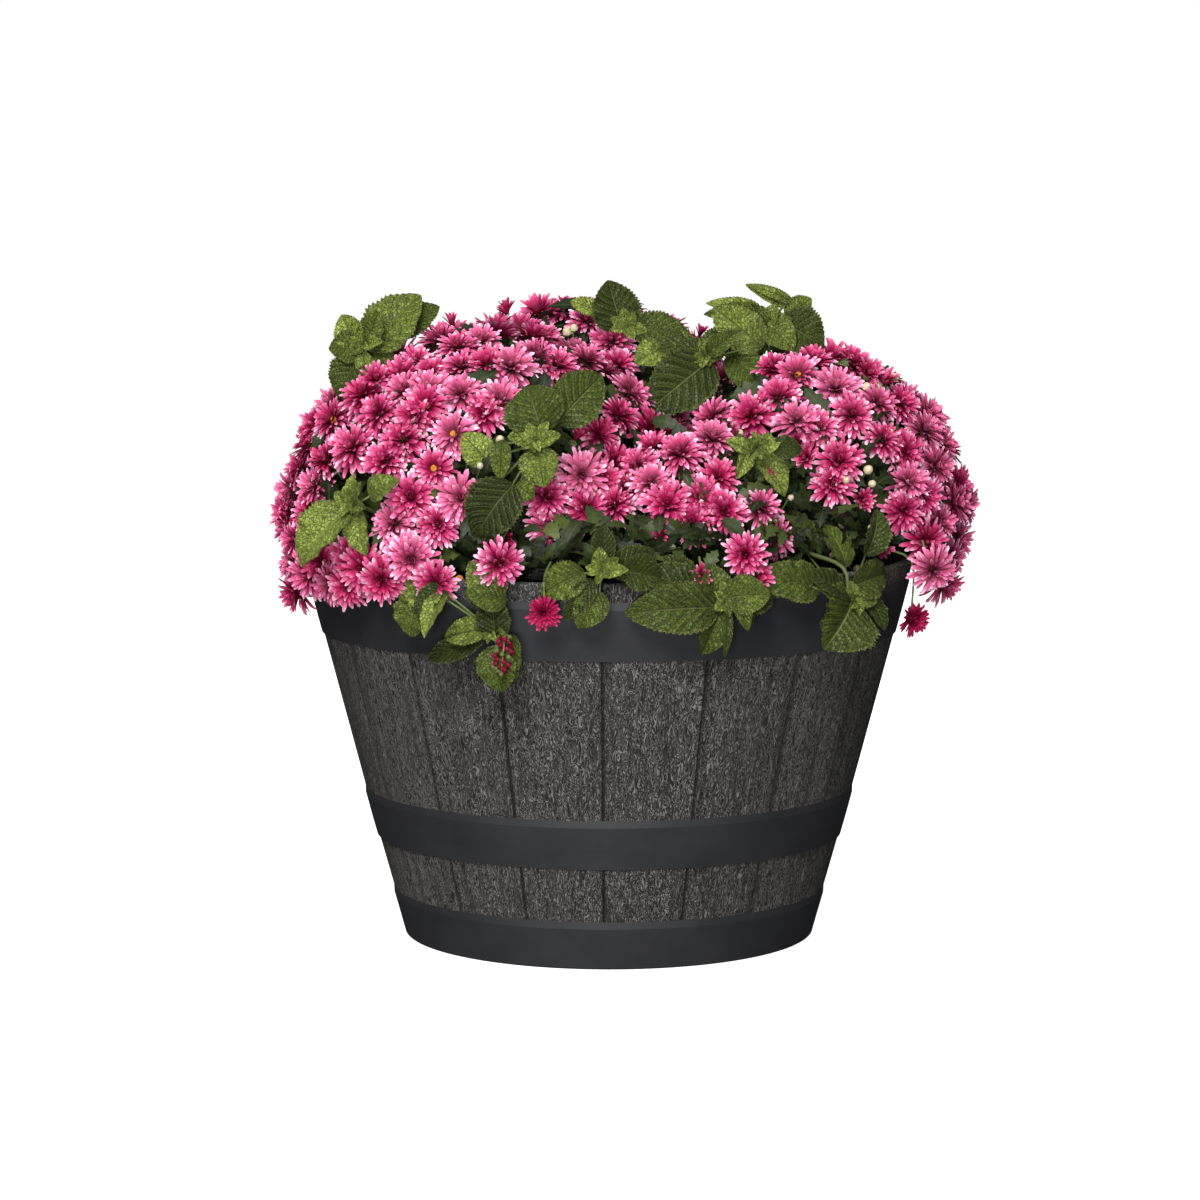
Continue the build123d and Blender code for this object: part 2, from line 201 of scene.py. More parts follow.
stave_number = math_node(tree, "FLOOR", stave_share)
stave_shade = add_node(tree, "TexWhiteNoise", {"W": stave_number}, noise_dimensions="1D").outputs["Value"]
patch_shade = math_node(tree, "MULTIPLY_ADD", patches, 0.30, 0.69)
shade = math_node(tree, "MULTIPLY_ADD", stave_shade, 0.16, patch_shade)
brown = mixed(tree, ramp(tree, patches, [(0.5, 0.0), (0.75, 0.35)]), tint, (0.080, 0.066, 0.054))
# Grime and painted shade in the grooves: dark within a millimetre or two of each one
from_groove = math_node(tree, "PINGPONG", stave_share, 0.5)
groove_grime_and_shade = ramp(tree, from_groove, [(0.0, 1.0), (0.012, 0.95), (0.026, 0.25), (0.05, 0.0)])
brown = mixed(tree, math_node(tree, "MULTIPLY", groove_grime_and_shade, 0.85), brown, (0.008, 0.008, 0.008))
darkened = add_node(tree, "VectorMath", {0: brown, "Scale": shade}, operation="SCALE").outputs[0]
tree.links.new(darkened, shader.inputs["Base Color"])
tree.links.new(ramp(tree, grain, [(0.35, 0.85), (0.7, 0.55)]), shader.inputs["Roughness"])
relief = add_node(tree, "Bump", {"Height": grain, "Strength": 0.9, "Distance": 0.0014})
tree.links.new(relief.outputs[0], shader.inputs["Normal"])
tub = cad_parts["tub_shell"]
tub.data.materials.clear()
tub.data.materials.append(stave_finish)

# Bands: three smooth charcoal bands moulded a little proud of the staves. Each slopes back to
# the staves along its upper edge, which catches the light. Satin resin with faint scuffs.
band_finish, tree, shader = new_finish("charcoal_satin", 0.5, 0.45)
angle, height = around_and_up(tree)
clouds = streaks(tree, angle, height, 14, 20, Detail=3.0, Roughness=0.6)
scuffs = streaks(tree, angle, height, 30, 900, Detail=3.0, Roughness=0.7, Distortion=0.3)
speckle = streaks(tree, angle, height, 900, 900, Detail=2.0)
colour = ramp(tree, clouds, [(0.3, (0.019, 0.0195, 0.022)), (0.7, (0.026, 0.0265, 0.029))])
worn = ramp(tree, scuffs, [(0.62, 0.0), (0.82, 0.35)])
colour = mixed(tree, worn, colour, (0.05, 0.05, 0.053))
tree.links.new(colour, shader.inputs["Base Color"])
tree.links.new(ramp(tree, clouds, [(0.3, 0.54), (0.7, 0.66)]), shader.inputs["Roughness"])
relief = add_node(tree, "Bump", {"Height": speckle, "Strength": 0.35, "Distance": 0.0004})
tree.links.new(relief.outputs[0], shader.inputs["Normal"])
for band_name in ("top_band", "middle_band", "bottom_band"):
    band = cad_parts[band_name]
    band.data.materials.clear()
    band.data.materials.append(band_finish)

# Drain plug: a soft rubber stopper pushed up into the hole in the floor from below. Matt black,
# dusty from the floor, with a fine moulded texture.
rubber, tree, shader = new_finish("dusty_rubber", 0.8, 0.3)
place = add_node(tree, "TexCoord").outputs["Object"]
dust = add_node(tree, "TexNoise", {"Vector": place, "Scale": 160.0, "Detail": 4.0}).outputs["Fac"]
grit = add_node(tree, "TexNoise", {"Vector": place, "Scale": 2200.0, "Detail": 2.0}).outputs["Fac"]
tree.links.new(
    ramp(tree, dust, [(0.4, (0.012, 0.012, 0.012)), (0.75, (0.05, 0.046, 0.04))]),
    shader.inputs["Base Color"])
tree.links.new(ramp(tree, dust, [(0.4, 0.7), (0.7, 0.95)]), shader.inputs["Roughness"])
relief = add_node(tree, "Bump", {"Height": grit, "Strength": 0.4, "Distance": 0.0004})
tree.links.new(relief.outputs[0], shader.inputs["Normal"])
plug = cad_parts["drain_plug"]
plug.data.materials.clear()
plug.data.materials.append(rubber)

# Potting mix and root balls: dark, crumbly mix of bark and peat that fills the tub to 30 mm
# under the rim, with the pot-shaped root balls of the seven plants set level in its top.
mix_finish, tree, shader = new_finish("peat_and_bark", 0.95, 0.2)
place = add_node(tree, "TexCoord").outputs["Object"]
crumbs = add_node(tree, "TexVoronoi", {"Vector": place, "Scale": 190.0}, distance="EUCLIDEAN")
damp = add_node(tree, "TexNoise", {"Vector": place, "Scale": 22.0, "Detail": 4.0}).outputs["Fac"]
crumb_tone = add_node(tree, "SeparateColor", {0: crumbs.outputs["Color"]}).outputs[0]
colour = ramp(tree, crumb_tone, [
    (0.0, (0.010, 0.007, 0.005)), (0.7, (0.035, 0.022, 0.014)), (0.92, (0.10, 0.065, 0.04))])
colour = mixed(tree, ramp(tree, damp, [(0.35, 0.0), (0.7, 0.6)]), colour, (0.012, 0.008, 0.006))
tree.links.new(colour, shader.inputs["Base Color"])
tree.links.new(ramp(tree, damp, [(0.3, 0.98), (0.7, 0.8)]), shader.inputs["Roughness"])
relief = add_node(tree, "Bump", {"Height": crumbs.outputs["Distance"], "Strength": 1.0, "Distance": 0.004})
relief.invert = True
tree.links.new(relief.outputs[0], shader.inputs["Normal"])


def crumbled(node_name, lump, depth):
    """A crumbly copy of a plain solid, worn back from its faces by up to a depth."""
    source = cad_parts[node_name]
    piece = bpy.data.objects.new(node_name + "_crumbled", source.data.copy())
    bpy.context.scene.collection.objects.link(piece)
    remesh = piece.modifiers.new("remesh", "REMESH")
    remesh.mode = "VOXEL"
    remesh.voxel_size = lump
    shaped = piece.evaluated_get(bpy.context.evaluated_depsgraph_get())
    mesh = bpy.data.meshes.new_from_object(shaped)
    piece.modifiers.clear()
    piece.data = mesh
    normals = np.array([vertex.normal for vertex in mesh.vertices])
    points = np.array([vertex.co for vertex in mesh.vertices])
    worn = [noise.noise(Vector(point) * 0.3 / lump) for point in points]
    rough = [noise.noise(Vector(point) * 0.11 / lump) for point in points]
    share = np.clip(0.5 + 0.5 * np.array(worn) + 0.5 * np.array(rough), 0, 1)
    points -= normals * (depth * share)[:, None]
    mesh.vertices.foreach_set("co", points.astype(np.float32).ravel())
    mesh.materials.clear()
    mesh.materials.append(mix_finish)
    mesh.polygons.foreach_set("use_smooth", np.ones(len(mesh.polygons), bool))
    mesh.update()
    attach(piece, "planting")
    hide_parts(node_name)
    return piece


crumbled("potting_mix", 0.005, 0.004)
plants = ("mum_left", "mum_back", "mum_right", "mum_front", "leafy_left", "leafy_centre", "leafy_right")
for plant in plants:
    crumbled(plant + "_root_ball", 0.003, 0.0025)

# Stems: woody, branching stems of each plant, which fan out from the crown at the mix to the
# underside of the foliage. Green-brown and ridged, darker and corkier at the foot.
mum_places = {
    "left": dict(centre=(-0.103, -0.048), radius=0.182, top=0.533, root=(-0.100, -0.048)),
    "back": dict(centre=(-0.020, 0.098), radius=0.170, top=0.552, root=(-0.012, 0.108)),
    "right": dict(centre=(0.170, 0.015), radius=0.146, top=0.512, root=(0.138, 0.024)),
    "front": dict(centre=(0.066, -0.112), radius=0.118, top=0.455, root=(0.056, -0.118)),
}
leafy_places = {"left": (-0.175, 0.062), "centre": (0.020, -0.020), "right": (0.165, -0.085)}
soil_level = 0.300
foliage_floor = 0.334

stem_finish, tree, shader = new_finish("green_stem", 0.6, 0.35)
marks = add_node(tree, "Attribute", attribute_name="marks").outputs["Vector"]
part = add_node(tree, "SeparateXYZ", {0: marks}).outputs
place = add_node(tree, "TexCoord").outputs["Object"]
stretched = add_node(tree, "Mapping", {"Vector": place, "Scale": (1.0, 1.0, 0.2)}).outputs[0]
fibre = add_node(tree, "TexNoise", {"Vector": stretched, "Scale": 900.0, "Detail": 3.0}).outputs["Fac"]
colour = ramp(tree, part["Z"], [
    (0.0, (0.055, 0.040, 0.022)), (0.35, (0.075, 0.095, 0.030)),
    (0.7, (0.16, 0.22, 0.06)), (1.0, (0.42, 0.20, 0.07))])
colour = mixed(tree, ramp(tree, fibre, [(0.4, 0.0), (0.7, 0.5)]), colour, (0.03, 0.028, 0.012))
tree.links.new(colour, shader.inputs["Base Color"])
tree.links.new(ramp(tree, fibre, [(0.3, 0.5), (0.7, 0.75)]), shader.inputs["Roughness"])
relief = add_node(tree, "Bump", {"Height": fibre, "Strength": 0.5, "Distance": 0.0005})
tree.links.new(relief.outputs[0], shader.inputs["Normal"])


def sheet_faces(rows, columns):
    """Four-cornered faces of a grid of points, row by row."""
    corner = np.arange((rows - 1) * columns).reshape(rows - 1, columns)[:, :-1].ravel()
    return np.stack([corner, corner + 1, corner + columns + 1, corner + columns], 1)


def ring_faces(rings, sides):
    """Four-cornered faces of a tube of closed rings of points."""
    corner = np.arange((rings - 1) * sides).reshape(rings - 1, sides)
    beside = np.roll(corner, -1, axis=1)
    return np.stack([corner, beside, beside + sides, corner + sides], 2).reshape(-1, 4)


def across_line(direction):
    """Two unit directions square to a line and to each other."""
    direction = direction / np.linalg.norm(direction)
    helper = np.array([0.0, 0.0, 1.0]) if abs(direction[2]) < 0.9 else np.array([1.0, 0.0, 0.0])
    first = np.cross(helper, direction)
    first /= np.linalg.norm(first)
    return first, np.cross(direction, first)


def stem_part(points, thick, thin, tone, number=0, sides=6, steps=7):
    """A tapering stem through three or more points, as a part of a piece."""
    points = np.array(points, float)
    share = np.linspace(0, 1, steps)
    knots = np.linspace(0, 1, len(points))
    # Interpolated, then eased at the corners so that the stem bends instead of kinking
    line = np.stack([np.interp(share, knots, points[:, i]) for i in range(3)], 1)
    for _ in range(2):
        line[1:-1] = (line[:-2] + 2 * line[1:-1] + line[2:]) / 4
    ring = np.linspace(0, math.tau, sides, endpoint=False)
    rows = []
    for i in range(steps):
        direction = line[min(i + 1, steps - 1)] - line[max(i - 1, 0)]
        first, second = across_line(direction)
        radius = thick + (thin - thick) * share[i]
        rows.append(line[i] + radius * (np.cos(ring)[:, None] * first + np.sin(ring)[:, None] * second))
    points = np.concatenate([*rows, [line[0], line[-1]]])
    last = steps * sides
    ends = []
    for i in range(sides):
        j = (i + 1) % sides
        ends.append((last, j, i, -1))
        ends.append((last + 1, last - sides + i, last - sides + j, -1))
    faces = np.concatenate([ring_faces(steps, sides), np.array(ends)])
    marks = np.zeros((len(points), 3))
    marks[:, 2] = tone
    return points, faces, number, marks


def lay_piece(name, parts, finishes, node_name):
    """Makes one piece of the planting from its parts, standing for its plain solid."""
    points, faces, numbers, marks = [], [], [], []
    count = 0
    for part_points, part_faces, number, part_marks in parts:
        points.append(part_points)
        faces.append(np.where(part_faces < 0, -1, part_faces + count))
        numbers.append(np.full(len(part_faces), number))
        marks.append(part_marks)
        count += len(part_points)
    points, faces = np.concatenate(points), np.concatenate(faces)
    numbers, marks = np.concatenate(numbers), np.concatenate(marks)
    four = faces[:, 3] >= 0
    mesh = bpy.data.meshes.new(name)
    mesh.from_pydata(points.tolist(), [], faces[four].tolist() + faces[~four][:, :3].tolist())
    ordered = np.concatenate([numbers[four], numbers[~four]])
    mesh.polygons.foreach_set("material_index", ordered.astype(np.int32))
    mesh.polygons.foreach_set("use_smooth", np.ones(len(faces), bool))
    layer = mesh.attributes.new("marks", "FLOAT_VECTOR", "POINT")
    layer.data.foreach_set("vector", marks.astype(np.float32).ravel())
    for finish in finishes:
        mesh.materials.append(finish)
    piece = bpy.data.objects.new(name, mesh)
    bpy.context.scene.collection.objects.link(piece)
    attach(piece, "planting")
    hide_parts(node_name)
    return piece


def fanned_stems(chance, x, y, count, spread, thick, top):
    """Stems that rise from one crown and arch outwards."""
    parts = []
    for i in range(count):
        bearing = math.tau * i / count + chance.uniform(-0.3, 0.3)
        reach = spread * chance.uniform(0.5, 1.0)
        start = np.array([x, y, soil_level - 0.004])
        middle = start + [0.45 * reach * math.cos(bearing), 0.45 * reach * math.sin(bearing), 0.024]
        end = np.array([x + reach * math.cos(bearing), y + reach * math.sin(bearing), top])
        parts.append(stem_part([start, middle, end], thick, thick * 0.6, chance.uniform(0.0, 0.4)))
    return parts


chance = np.random.default_rng(7)
for name, mum in mum_places.items():
    parts = fanned_stems(chance, *mum["root"], 13, 0.075, 0.0034, foliage_floor + 0.014)
    lay_piece(f"mum_{name}_stalks", parts, [stem_finish], f"mum_{name}_stems")
for name, (x, y) in leafy_places.items():
    parts = fanned_stems(chance, x, y, 5, 0.026, 0.0026, foliage_floor + 0.014)
    lay_piece(f"leafy_{name}_stalks", parts, [stem_finish], f"leafy_{name}_stems")

# Mum foliage: small lobed leaves, dark green, packed below the flowers, over a dense heart of inner
# leaves painted near black as the shade deep in the mound. It shows as dark gaps between the flowers.
mum_leaf, tree, shader = new_finish("mum_leaf_green", 0.55, 0.35)
marks = add_node(tree, "Attribute", attribute_name="marks").outputs["Vector"]
part = add_node(tree, "SeparateXYZ", {0: marks}).outputs
place = add_node(tree, "TexCoord").outputs["Object"]
mottle = add_node(tree, "TexNoise", {"Vector": place, "Scale": 260.0, "Detail": 4.0}).outputs["Fac"]
colour = ramp(tree, part["Z"], [
    (0.0, (0.006, 0.010, 0.002)), (0.4, (0.018, 0.028, 0.006)),
    (0.8, (0.055, 0.080, 0.016)), (1.0, (0.14, 0.18, 0.04))])
midrib = ramp(tree, math_node(tree, "ABSOLUTE", part["Y"]), [(0.0, 0.5), (0.22, 0.0)])
colour = mixed(tree, midrib, colour, (0.07, 0.095, 0.03))
colour = mixed(tree, ramp(tree, mottle, [(0.45, 0.0), (0.75, 0.6)]), colour, (0.015, 0.028, 0.008))
tree.links.new(colour, shader.inputs["Base Color"])
tree.links.new(ramp(tree, mottle, [(0.3, 0.45), (0.7, 0.65)]), shader.inputs["Roughness"])
relief = add_node(tree, "Bump", {"Height": mottle, "Strength": 0.5, "Distance": 0.0008})
tree.links.new(relief.outputs[0], shader.inputs["Normal"])

# Painted shade: near-black greens stand for the shade among the inner leaves of each mound.
shade_heart_finish, tree, shader = new_finish("inner_leaves_painted_shade", 0.8, 0.15)
place = add_node(tree, "TexCoord").outputs["Object"]
scraps = add_node(tree, "TexVoronoi", {"Vector": place, "Scale": 95.0})
tone = add_node(tree, "SeparateColor", {0: scraps.outputs["Color"]}).outputs[0]
colour = ramp(tree, tone, [
    (0.2, (0.004, 0.007, 0.003)), (0.6, (0.010, 0.020, 0.006)), (0.95, (0.03, 0.05, 0.014))])
tree.links.new(colour, shader.inputs["Base Color"])
relief = add_node(tree, "Bump", {"Height": scraps.outputs["Distance"], "Strength": 1.0, "Distance": 0.006})
tree.links.new(relief.outputs[0], shader.inputs["Normal"])


def cell_planes(name):
    """Upright planes that part a mound from its neighbours: direction and distance."""
    own = mum_places[name]
    planes = []
    for other_name, other in mum_places.items():
        if other_name == name:
            continue
        gap = np.array(other["centre"]) - np.array(own["centre"])
        apart = np.linalg.norm(gap)
        distance = (apart ** 2 + own["radius"] ** 2 - other["radius"] ** 2) / (2 * apart)
        planes.append((gap / apart, distance))
    return planes


def depth_in_cell(name, points):
    """How far points lie inside their mound's cell. Less than 0 is over the border."""
    own = np.array(mum_places[name]["centre"])
    return np.min([distance - (points[:, :2] - own) @ way for way, distance in cell_planes(name)], axis=0)


def heart(name, inset, rings=26, sides=72):
    """The heart of a mound, inner leaves painted near black as shade: a lumpy dome with a flat underside."""
    mum = mum_places[name]
    radius = mum["radius"] - inset
    middle = np.array([*mum["centre"], mum["top"] - mum["radius"]])
    lowest = math.asin((foliage_floor - middle[2]) / radius)
    rise = np.linspace(lowest, math.pi / 2 - 0.02, rings)
    bearing = np.linspace(0, math.tau, sides, endpoint=False)
    rise, bearing = np.meshgrid(rise, bearing, indexing="ij")
    ways = np.stack([np.cos(rise) * np.cos(bearing), np.cos(rise) * np.sin(bearing), np.sin(rise)], 2)
    ways = ways.reshape(-1, 3)
    lumps = [noise.noise(Vector(way) * 9) + 0.6 * noise.noise(Vector(way) * 21) for way in ways]
    points = middle + ways * (radius + 0.007 * np.array(lumps))[:, None]
    for way, distance in cell_planes(name):
        over = np.maximum((points[:, :2] - middle[:2]) @ way - distance + 0.001, 0)
        points[:, :2] -= over[:, None] * way
    points[:, 2] = np.maximum(points[:, 2], foliage_floor)
    top_middle, floor_middle = points[-sides:].mean(0), [*points[:sides, :2].mean(0), foliage_floor]
    points = np.concatenate([points, [top_middle], [floor_middle]])
    ends = []
    last = rings * sides
    for i in range(sides):
        j = (i + 1) % sides
        ends.append((last - sides + i, last - sides + j, last, -1))
        ends.append((j, i, last + 1, -1))
    faces = np.concatenate([ring_faces(rings, sides), np.array(ends)])
    return points, faces, 1, np.zeros((len(points), 3))


def lobed_leaf(length, width, arch, curl):
    """A small leaf with three lobes a side, lying along X with its face up."""
    rows, columns = 13, 3
    t, v = np.meshgrid(np.linspace(0, 1, rows), np.linspace(-1, 1, columns), indexing="ij")
    outline = np.interp(t, [0, 0.12, 0.22, 0.34, 0.44, 0.55, 0.66, 0.75, 0.86, 1.0],
                        [0.08, 0.14, 0.62, 0.34, 1.0, 0.5, 0.84, 0.4, 0.36, 0.03])
    x = length * t
    y = width / 2 * outline * v
    z = arch * length * 4 * t * (1 - t) - curl * length * t ** 2 + 0.18 * np.abs(y)
    points = np.stack([x, y, z], 2).reshape(-1, 3)
    return points, sheet_faces(rows, columns), np.stack([t.ravel(), v.ravel()], 1)


def turned_to(axis, spin):
    """Rows that turn a flat thing's own X, Y, Z so that its Z points along the axis."""
    axis = axis / np.linalg.norm(axis)
    first, second = across_line(axis)
    x_way = math.cos(spin) * first + math.sin(spin) * second
    return np.stack([x_way, np.cross(axis, x_way), axis])


def ball_ways(spacing, radius):
    """Evenly scattered directions for things so far apart on a ball."""
    count = int(4 * math.pi * radius ** 2 / (0.866 * spacing ** 2))
    i = np.arange(count) + 0.5
    z = 1 - 2 * i / count
    bearing = i * math.pi * (3 - math.sqrt(5))
    level = np.sqrt(1 - z ** 2)
    return np.stack([level * np.cos(bearing), level * np.sin(bearing), z], 1)


def hits_rim(points):
    """Which points would lie in the tub's wall or inside it below the rim."""
    clearance = 0.004
    inside = np.hypot(points[:, 0], points[:, 1]) < stave_line[-1][1] + clearance
    return inside & (points[:, 2] < stave_line[-1][0] + clearance)


leaf_kinds = [lobed_leaf(0.030, 0.022, 0.06, 0.25), lobed_leaf(0.036, 0.024, 0.02, 0.4),
              lobed_leaf(0.026, 0.017, 0.10, 0.1)]
leaf_parts = {}
for name, mum in mum_places.items():
    chance = np.random.default_rng(len(name) * 31)
    middle = np.array([*mum["centre"], mum["top"] - mum["radius"]])
    parts = [heart(name, 0.040)]
    for way in ball_ways(0.0165, mum["radius"]):
        depth = chance.uniform(0.012, 0.036)
        spot = middle + way * (mum["radius"] - depth) + chance.normal(0, 0.003, 3)
        lean = chance.normal(0, 0.55, 3)
        spin = chance.uniform(0, math.tau)
        tone = chance.beta(1.6, 2.6)
        kind = chance.integers(len(leaf_kinds))
        size = chance.uniform(0.75, 1.2)
        if spot[2] < 0.310 or depth_in_cell(name, spot[None])[0] < 0.004:
            continue
        points, faces, where = leaf_kinds[kind]
        placed = spot + size * (points - [0.012, 0, 0]) @ turned_to(way + lean, spin)
        if placed[:, 2].min() < 0.300 or hits_rim(placed).any():
            continue
        marks = np.column_stack([where, np.full(len(points), tone)])
        parts.append((placed, faces, 0, marks))
    leaf_parts[name] = parts

# Low leaves between the mounds and the rim, so that no bare mix shows
chance = np.random.default_rng(5)
for _ in range(2200):
    bearing, reach = chance.uniform(0, math.tau), 0.252 * math.sqrt(chance.uniform(0.30, 1.0))
    spot = np.array([reach * math.cos(bearing), reach * math.sin(bearing), chance.uniform(0.338, 0.378)])
    lean, spin, size = chance.normal(0, 0.6, 3), chance.uniform(0, math.tau), chance.uniform(0.6, 1.0)
    tone, kind = chance.beta(1.5, 2.4), chance.integers(len(leaf_kinds))
    buried = {}
    for name, mum in mum_places.items():
        middle = np.array([*mum["centre"], mum["top"] - mum["radius"]])
        buried[name] = mum["radius"] - np.linalg.norm(spot - middle)
    nearest = max(buried, key=buried.get)
    if buried[nearest] > 0.012:
        continue
    way = np.array([0.8 * math.cos(bearing), 0.8 * math.sin(bearing), 0.9])
    points, faces, where = leaf_kinds[kind]
    placed = spot + size * (points - [0.012, 0, 0]) @ turned_to(way + lean, spin)
    if hits_rim(placed).any():
        continue
    marks = np.column_stack([where, np.full(len(points), tone)])
    leaf_parts[nearest].append((placed, faces, 0, marks))
for name, parts in leaf_parts.items():
    lay_piece(f"mum_{name}_leaves", parts, [mum_leaf, shade_heart_finish], f"mum_{name}_foliage")

# Flower heads: fully double garden mums about 40 mm across, of narrow strap petals in five
# whorls, flat outside and closing towards the middle. Pink, paler at the tips, magenta inside,
# with painted shade that darkens each petal to near black at its foot, the inner whorls a little more.
petal_finish, tree, shader = new_finish("pink_petals", 0.60, 0.12)
marks = add_node(tree, "Attribute", attribute_name="marks").outputs["Vector"]
part = add_node(tree, "SeparateXYZ", {0: marks}).outputs
place = add_node(tree, "TexCoord").outputs["Object"]
flecks = add_node(tree, "TexNoise", {"Vector": place, "Scale": 420.0, "Detail": 3.0}).outputs["Fac"]
along = math_node(tree, "MULTIPLY_ADD", flecks, 0.22, math_node(tree, "SUBTRACT", part["X"], 0.11))
# From a petal's foot to its tip: near black at the foot, painted shade among the overlapping petals, then
# magenta to pale pink tips.
colour = ramp(tree, along, [
    (0.0, (0.035, 0.0004, 0.003)), (0.32, (0.14, 0.001, 0.018)),
    (0.57, (0.48, 0.022, 0.115)), (0.79, (0.80, 0.17, 0.37)), (0.95, (1.0, 0.66, 0.80))])
deep = mixed(tree, math_node(tree, "SUBTRACT", 0.70, part["Z"]), colour, (0.40, 0.008, 0.062))
paler = math_node(tree, "MULTIPLY", ramp(tree, part["Z"], [(0.60, 0.0), (1.0, 0.34)]), part["X"])
pale = mixed(tree, paler, deep, (0.94, 0.42, 0.63))
streak = ramp(tree, math_node(tree, "ABSOLUTE", part["Y"]), [(0.0, 0.16), (0.6, 0.0)])
colour = mixed(tree, streak, pale, (0.50, 0.035, 0.15))
tree.links.new(colour, shader.inputs["Base Color"])
tree.links.new(ramp(tree, flecks, [(0.3, 0.45), (0.7, 0.65)]), shader.inputs["Roughness"])
relief = add_node(tree, "Bump", {"Height": flecks, "Strength": 0.3, "Distance": 0.0004})
tree.links.new(relief.outputs[0], shader.inputs["Normal"])

disc_finish, tree, shader = new_finish("yellow_eye", 0.7, 0.2)
place = add_node(tree, "TexCoord").outputs["Object"]
florets = add_node(tree, "TexVoronoi", {"Vector": place, "Scale": 900.0})
colour = ramp(tree, florets.outputs["Distance"], [(0.1, (0.75, 0.42, 0.05)), (0.6, (0.50, 0.14, 0.03))])
tree.links.new(colour, shader.inputs["Base Color"])
relief = add_node(tree, "Bump", {"Height": florets.outputs["Distance"], "Strength": 0.8, "Distance": 0.0008})
tree.links.new(relief.outputs[0], shader.inputs["Normal"])

# Whorls from the outside in: petals, length, width, rise in degrees at the foot and at the tip
whorls = [
    (23, 0.0192, 0.0035, 12, -18),
    (22, 0.0186, 0.0034, 30, 0),
    (19, 0.0168, 0.0033, 46, 20),
    (14, 0.0138, 0.0033, 62, 44),
    (9, 0.0098, 0.0029, 78, 82),
]
petal_rows = np.array([0, 0.34, 0.68, 0.90, 1.0])
petal_shape = np.array([0.36, 0.82, 1.0, 0.86, 0.34])


def petal(length, width, foot_rise, tip_rise, cup, start):
    """One strap petal that leaves the middle along X: points and place marks."""
    rise = np.radians(foot_rise + (tip_rise - foot_rise) * petal_rows)
    step = np.diff(petal_rows, prepend=0) * length
    run = start + np.cumsum(step * np.cos(rise))
    climb = np.cumsum(step * np.sin(rise))
    points, marks = [], []
    for side in (-1, 0, 1):
        lift = cup * width * abs(side) * petal_shape
        points.append(np.stack([
            run - lift * np.sin(rise), side * width / 2 * petal_shape, climb + lift * np.cos(rise)], 1))
        marks.append(np.stack([petal_rows, np.full(len(petal_rows), float(side))], 1))
    return np.stack(points, 1).reshape(-1, 3), np.stack(marks, 1).reshape(-1, 2)


def flower_head(chance, opening, skip=0, eye=False):
    """A flower head looking up Z, from tight at opening 0 to wide at 1."""
    points, faces, marks = [], [], []
    count = 0
    petal_faces = sheet_faces(len(petal_rows), 3)
    for level, (petals, length, width, foot_rise, tip_rise) in enumerate(whorls[skip:], skip):
        if eye and level == 4:
            break
        for i in range(petals):
            bearing = math.tau * (i + 0.5 * (level % 2)) / petals + chance.normal(0, 0.10)
            closing = (1 - opening) * (40 - 7 * level)
            own = length * chance.uniform(0.80, 1.12)
            one, place_marks = petal(
                own, width * chance.uniform(0.85, 1.1),
                foot_rise + closing + chance.normal(0, 5), tip_rise + closing * 1.1 + chance.normal(0, 12),
                chance.uniform(0.12, 0.40), 0.0022 - 0.0003 * level)
            turn = np.array([[math.cos(bearing), math.sin(bearing), 0],
                             [-math.sin(bearing), math.cos(bearing), 0], [0, 0, 1]])
            one = one @ turn + [0, 0, 0.0012 * level]
            # Painted shade: darker towards each petal's foot and a little darker in the inner whorls; the
            # random factor is the petal's own tone.
            shade = place_marks[:, 0] * (1.0 - 0.06 * level) * chance.uniform(0.78, 1.12) + 0.02
            points.append(one)
            faces.append(petal_faces + count)
            marks.append(np.column_stack([shade, place_marks[:, 1]]))
            count += len(one)
    return np.concatenate(points), np.concatenate(faces), np.concatenate(marks)


def button(radius, height, rings=4, sides=10):
    """A small domed button: the calyx under a head or the eye in its middle."""
    points, share = [], np.linspace(0, 1, rings)
    for s in share:
        ring = np.linspace(0, math.tau, sides, endpoint=False)
        level = radius * math.cos(s * math.pi / 2 * 0.92)
        points.append(np.stack([level * np.cos(ring), level * np.sin(ring),
                                np.full(sides, height * math.sin(s * math.pi / 2))], 1))
    points = np.concatenate([*points, [[0, 0, height]]])
    last = rings * sides
    ends = [(last - sides + i, last - sides + (i + 1) % sides, last, -1) for i in range(sides)]
    faces = np.concatenate([ring_faces(rings, sides), np.array(ends)])
    return points, faces


chance = np.random.default_rng(3)
open_heads = [flower_head(chance, opening) for opening in (1.0, 0.95, 0.9, 0.85, 0.8, 0.7, 0.6, 0.45)]
eyed_heads = [flower_head(chance, 1.0, eye=True), flower_head(chance, 0.9, eye=True)]
tight_heads = [flower_head(chance, 0.15, skip=2), flower_head(chance, 0.0, skip=3)]
bud_head = flower_head(chance, 0.35)
head_gap = 0.0345
head_depth = 0.0125
# Heads nearer the axis than this, and low enough to droop on to the rim, are left out
safe_reach, head_droop = 0.272, 0.014
calyx_radius, calyx_height = 0.0042, 0.0040
eye_radius, eye_height, eye_level = 0.0036, 0.0024, 0.0042

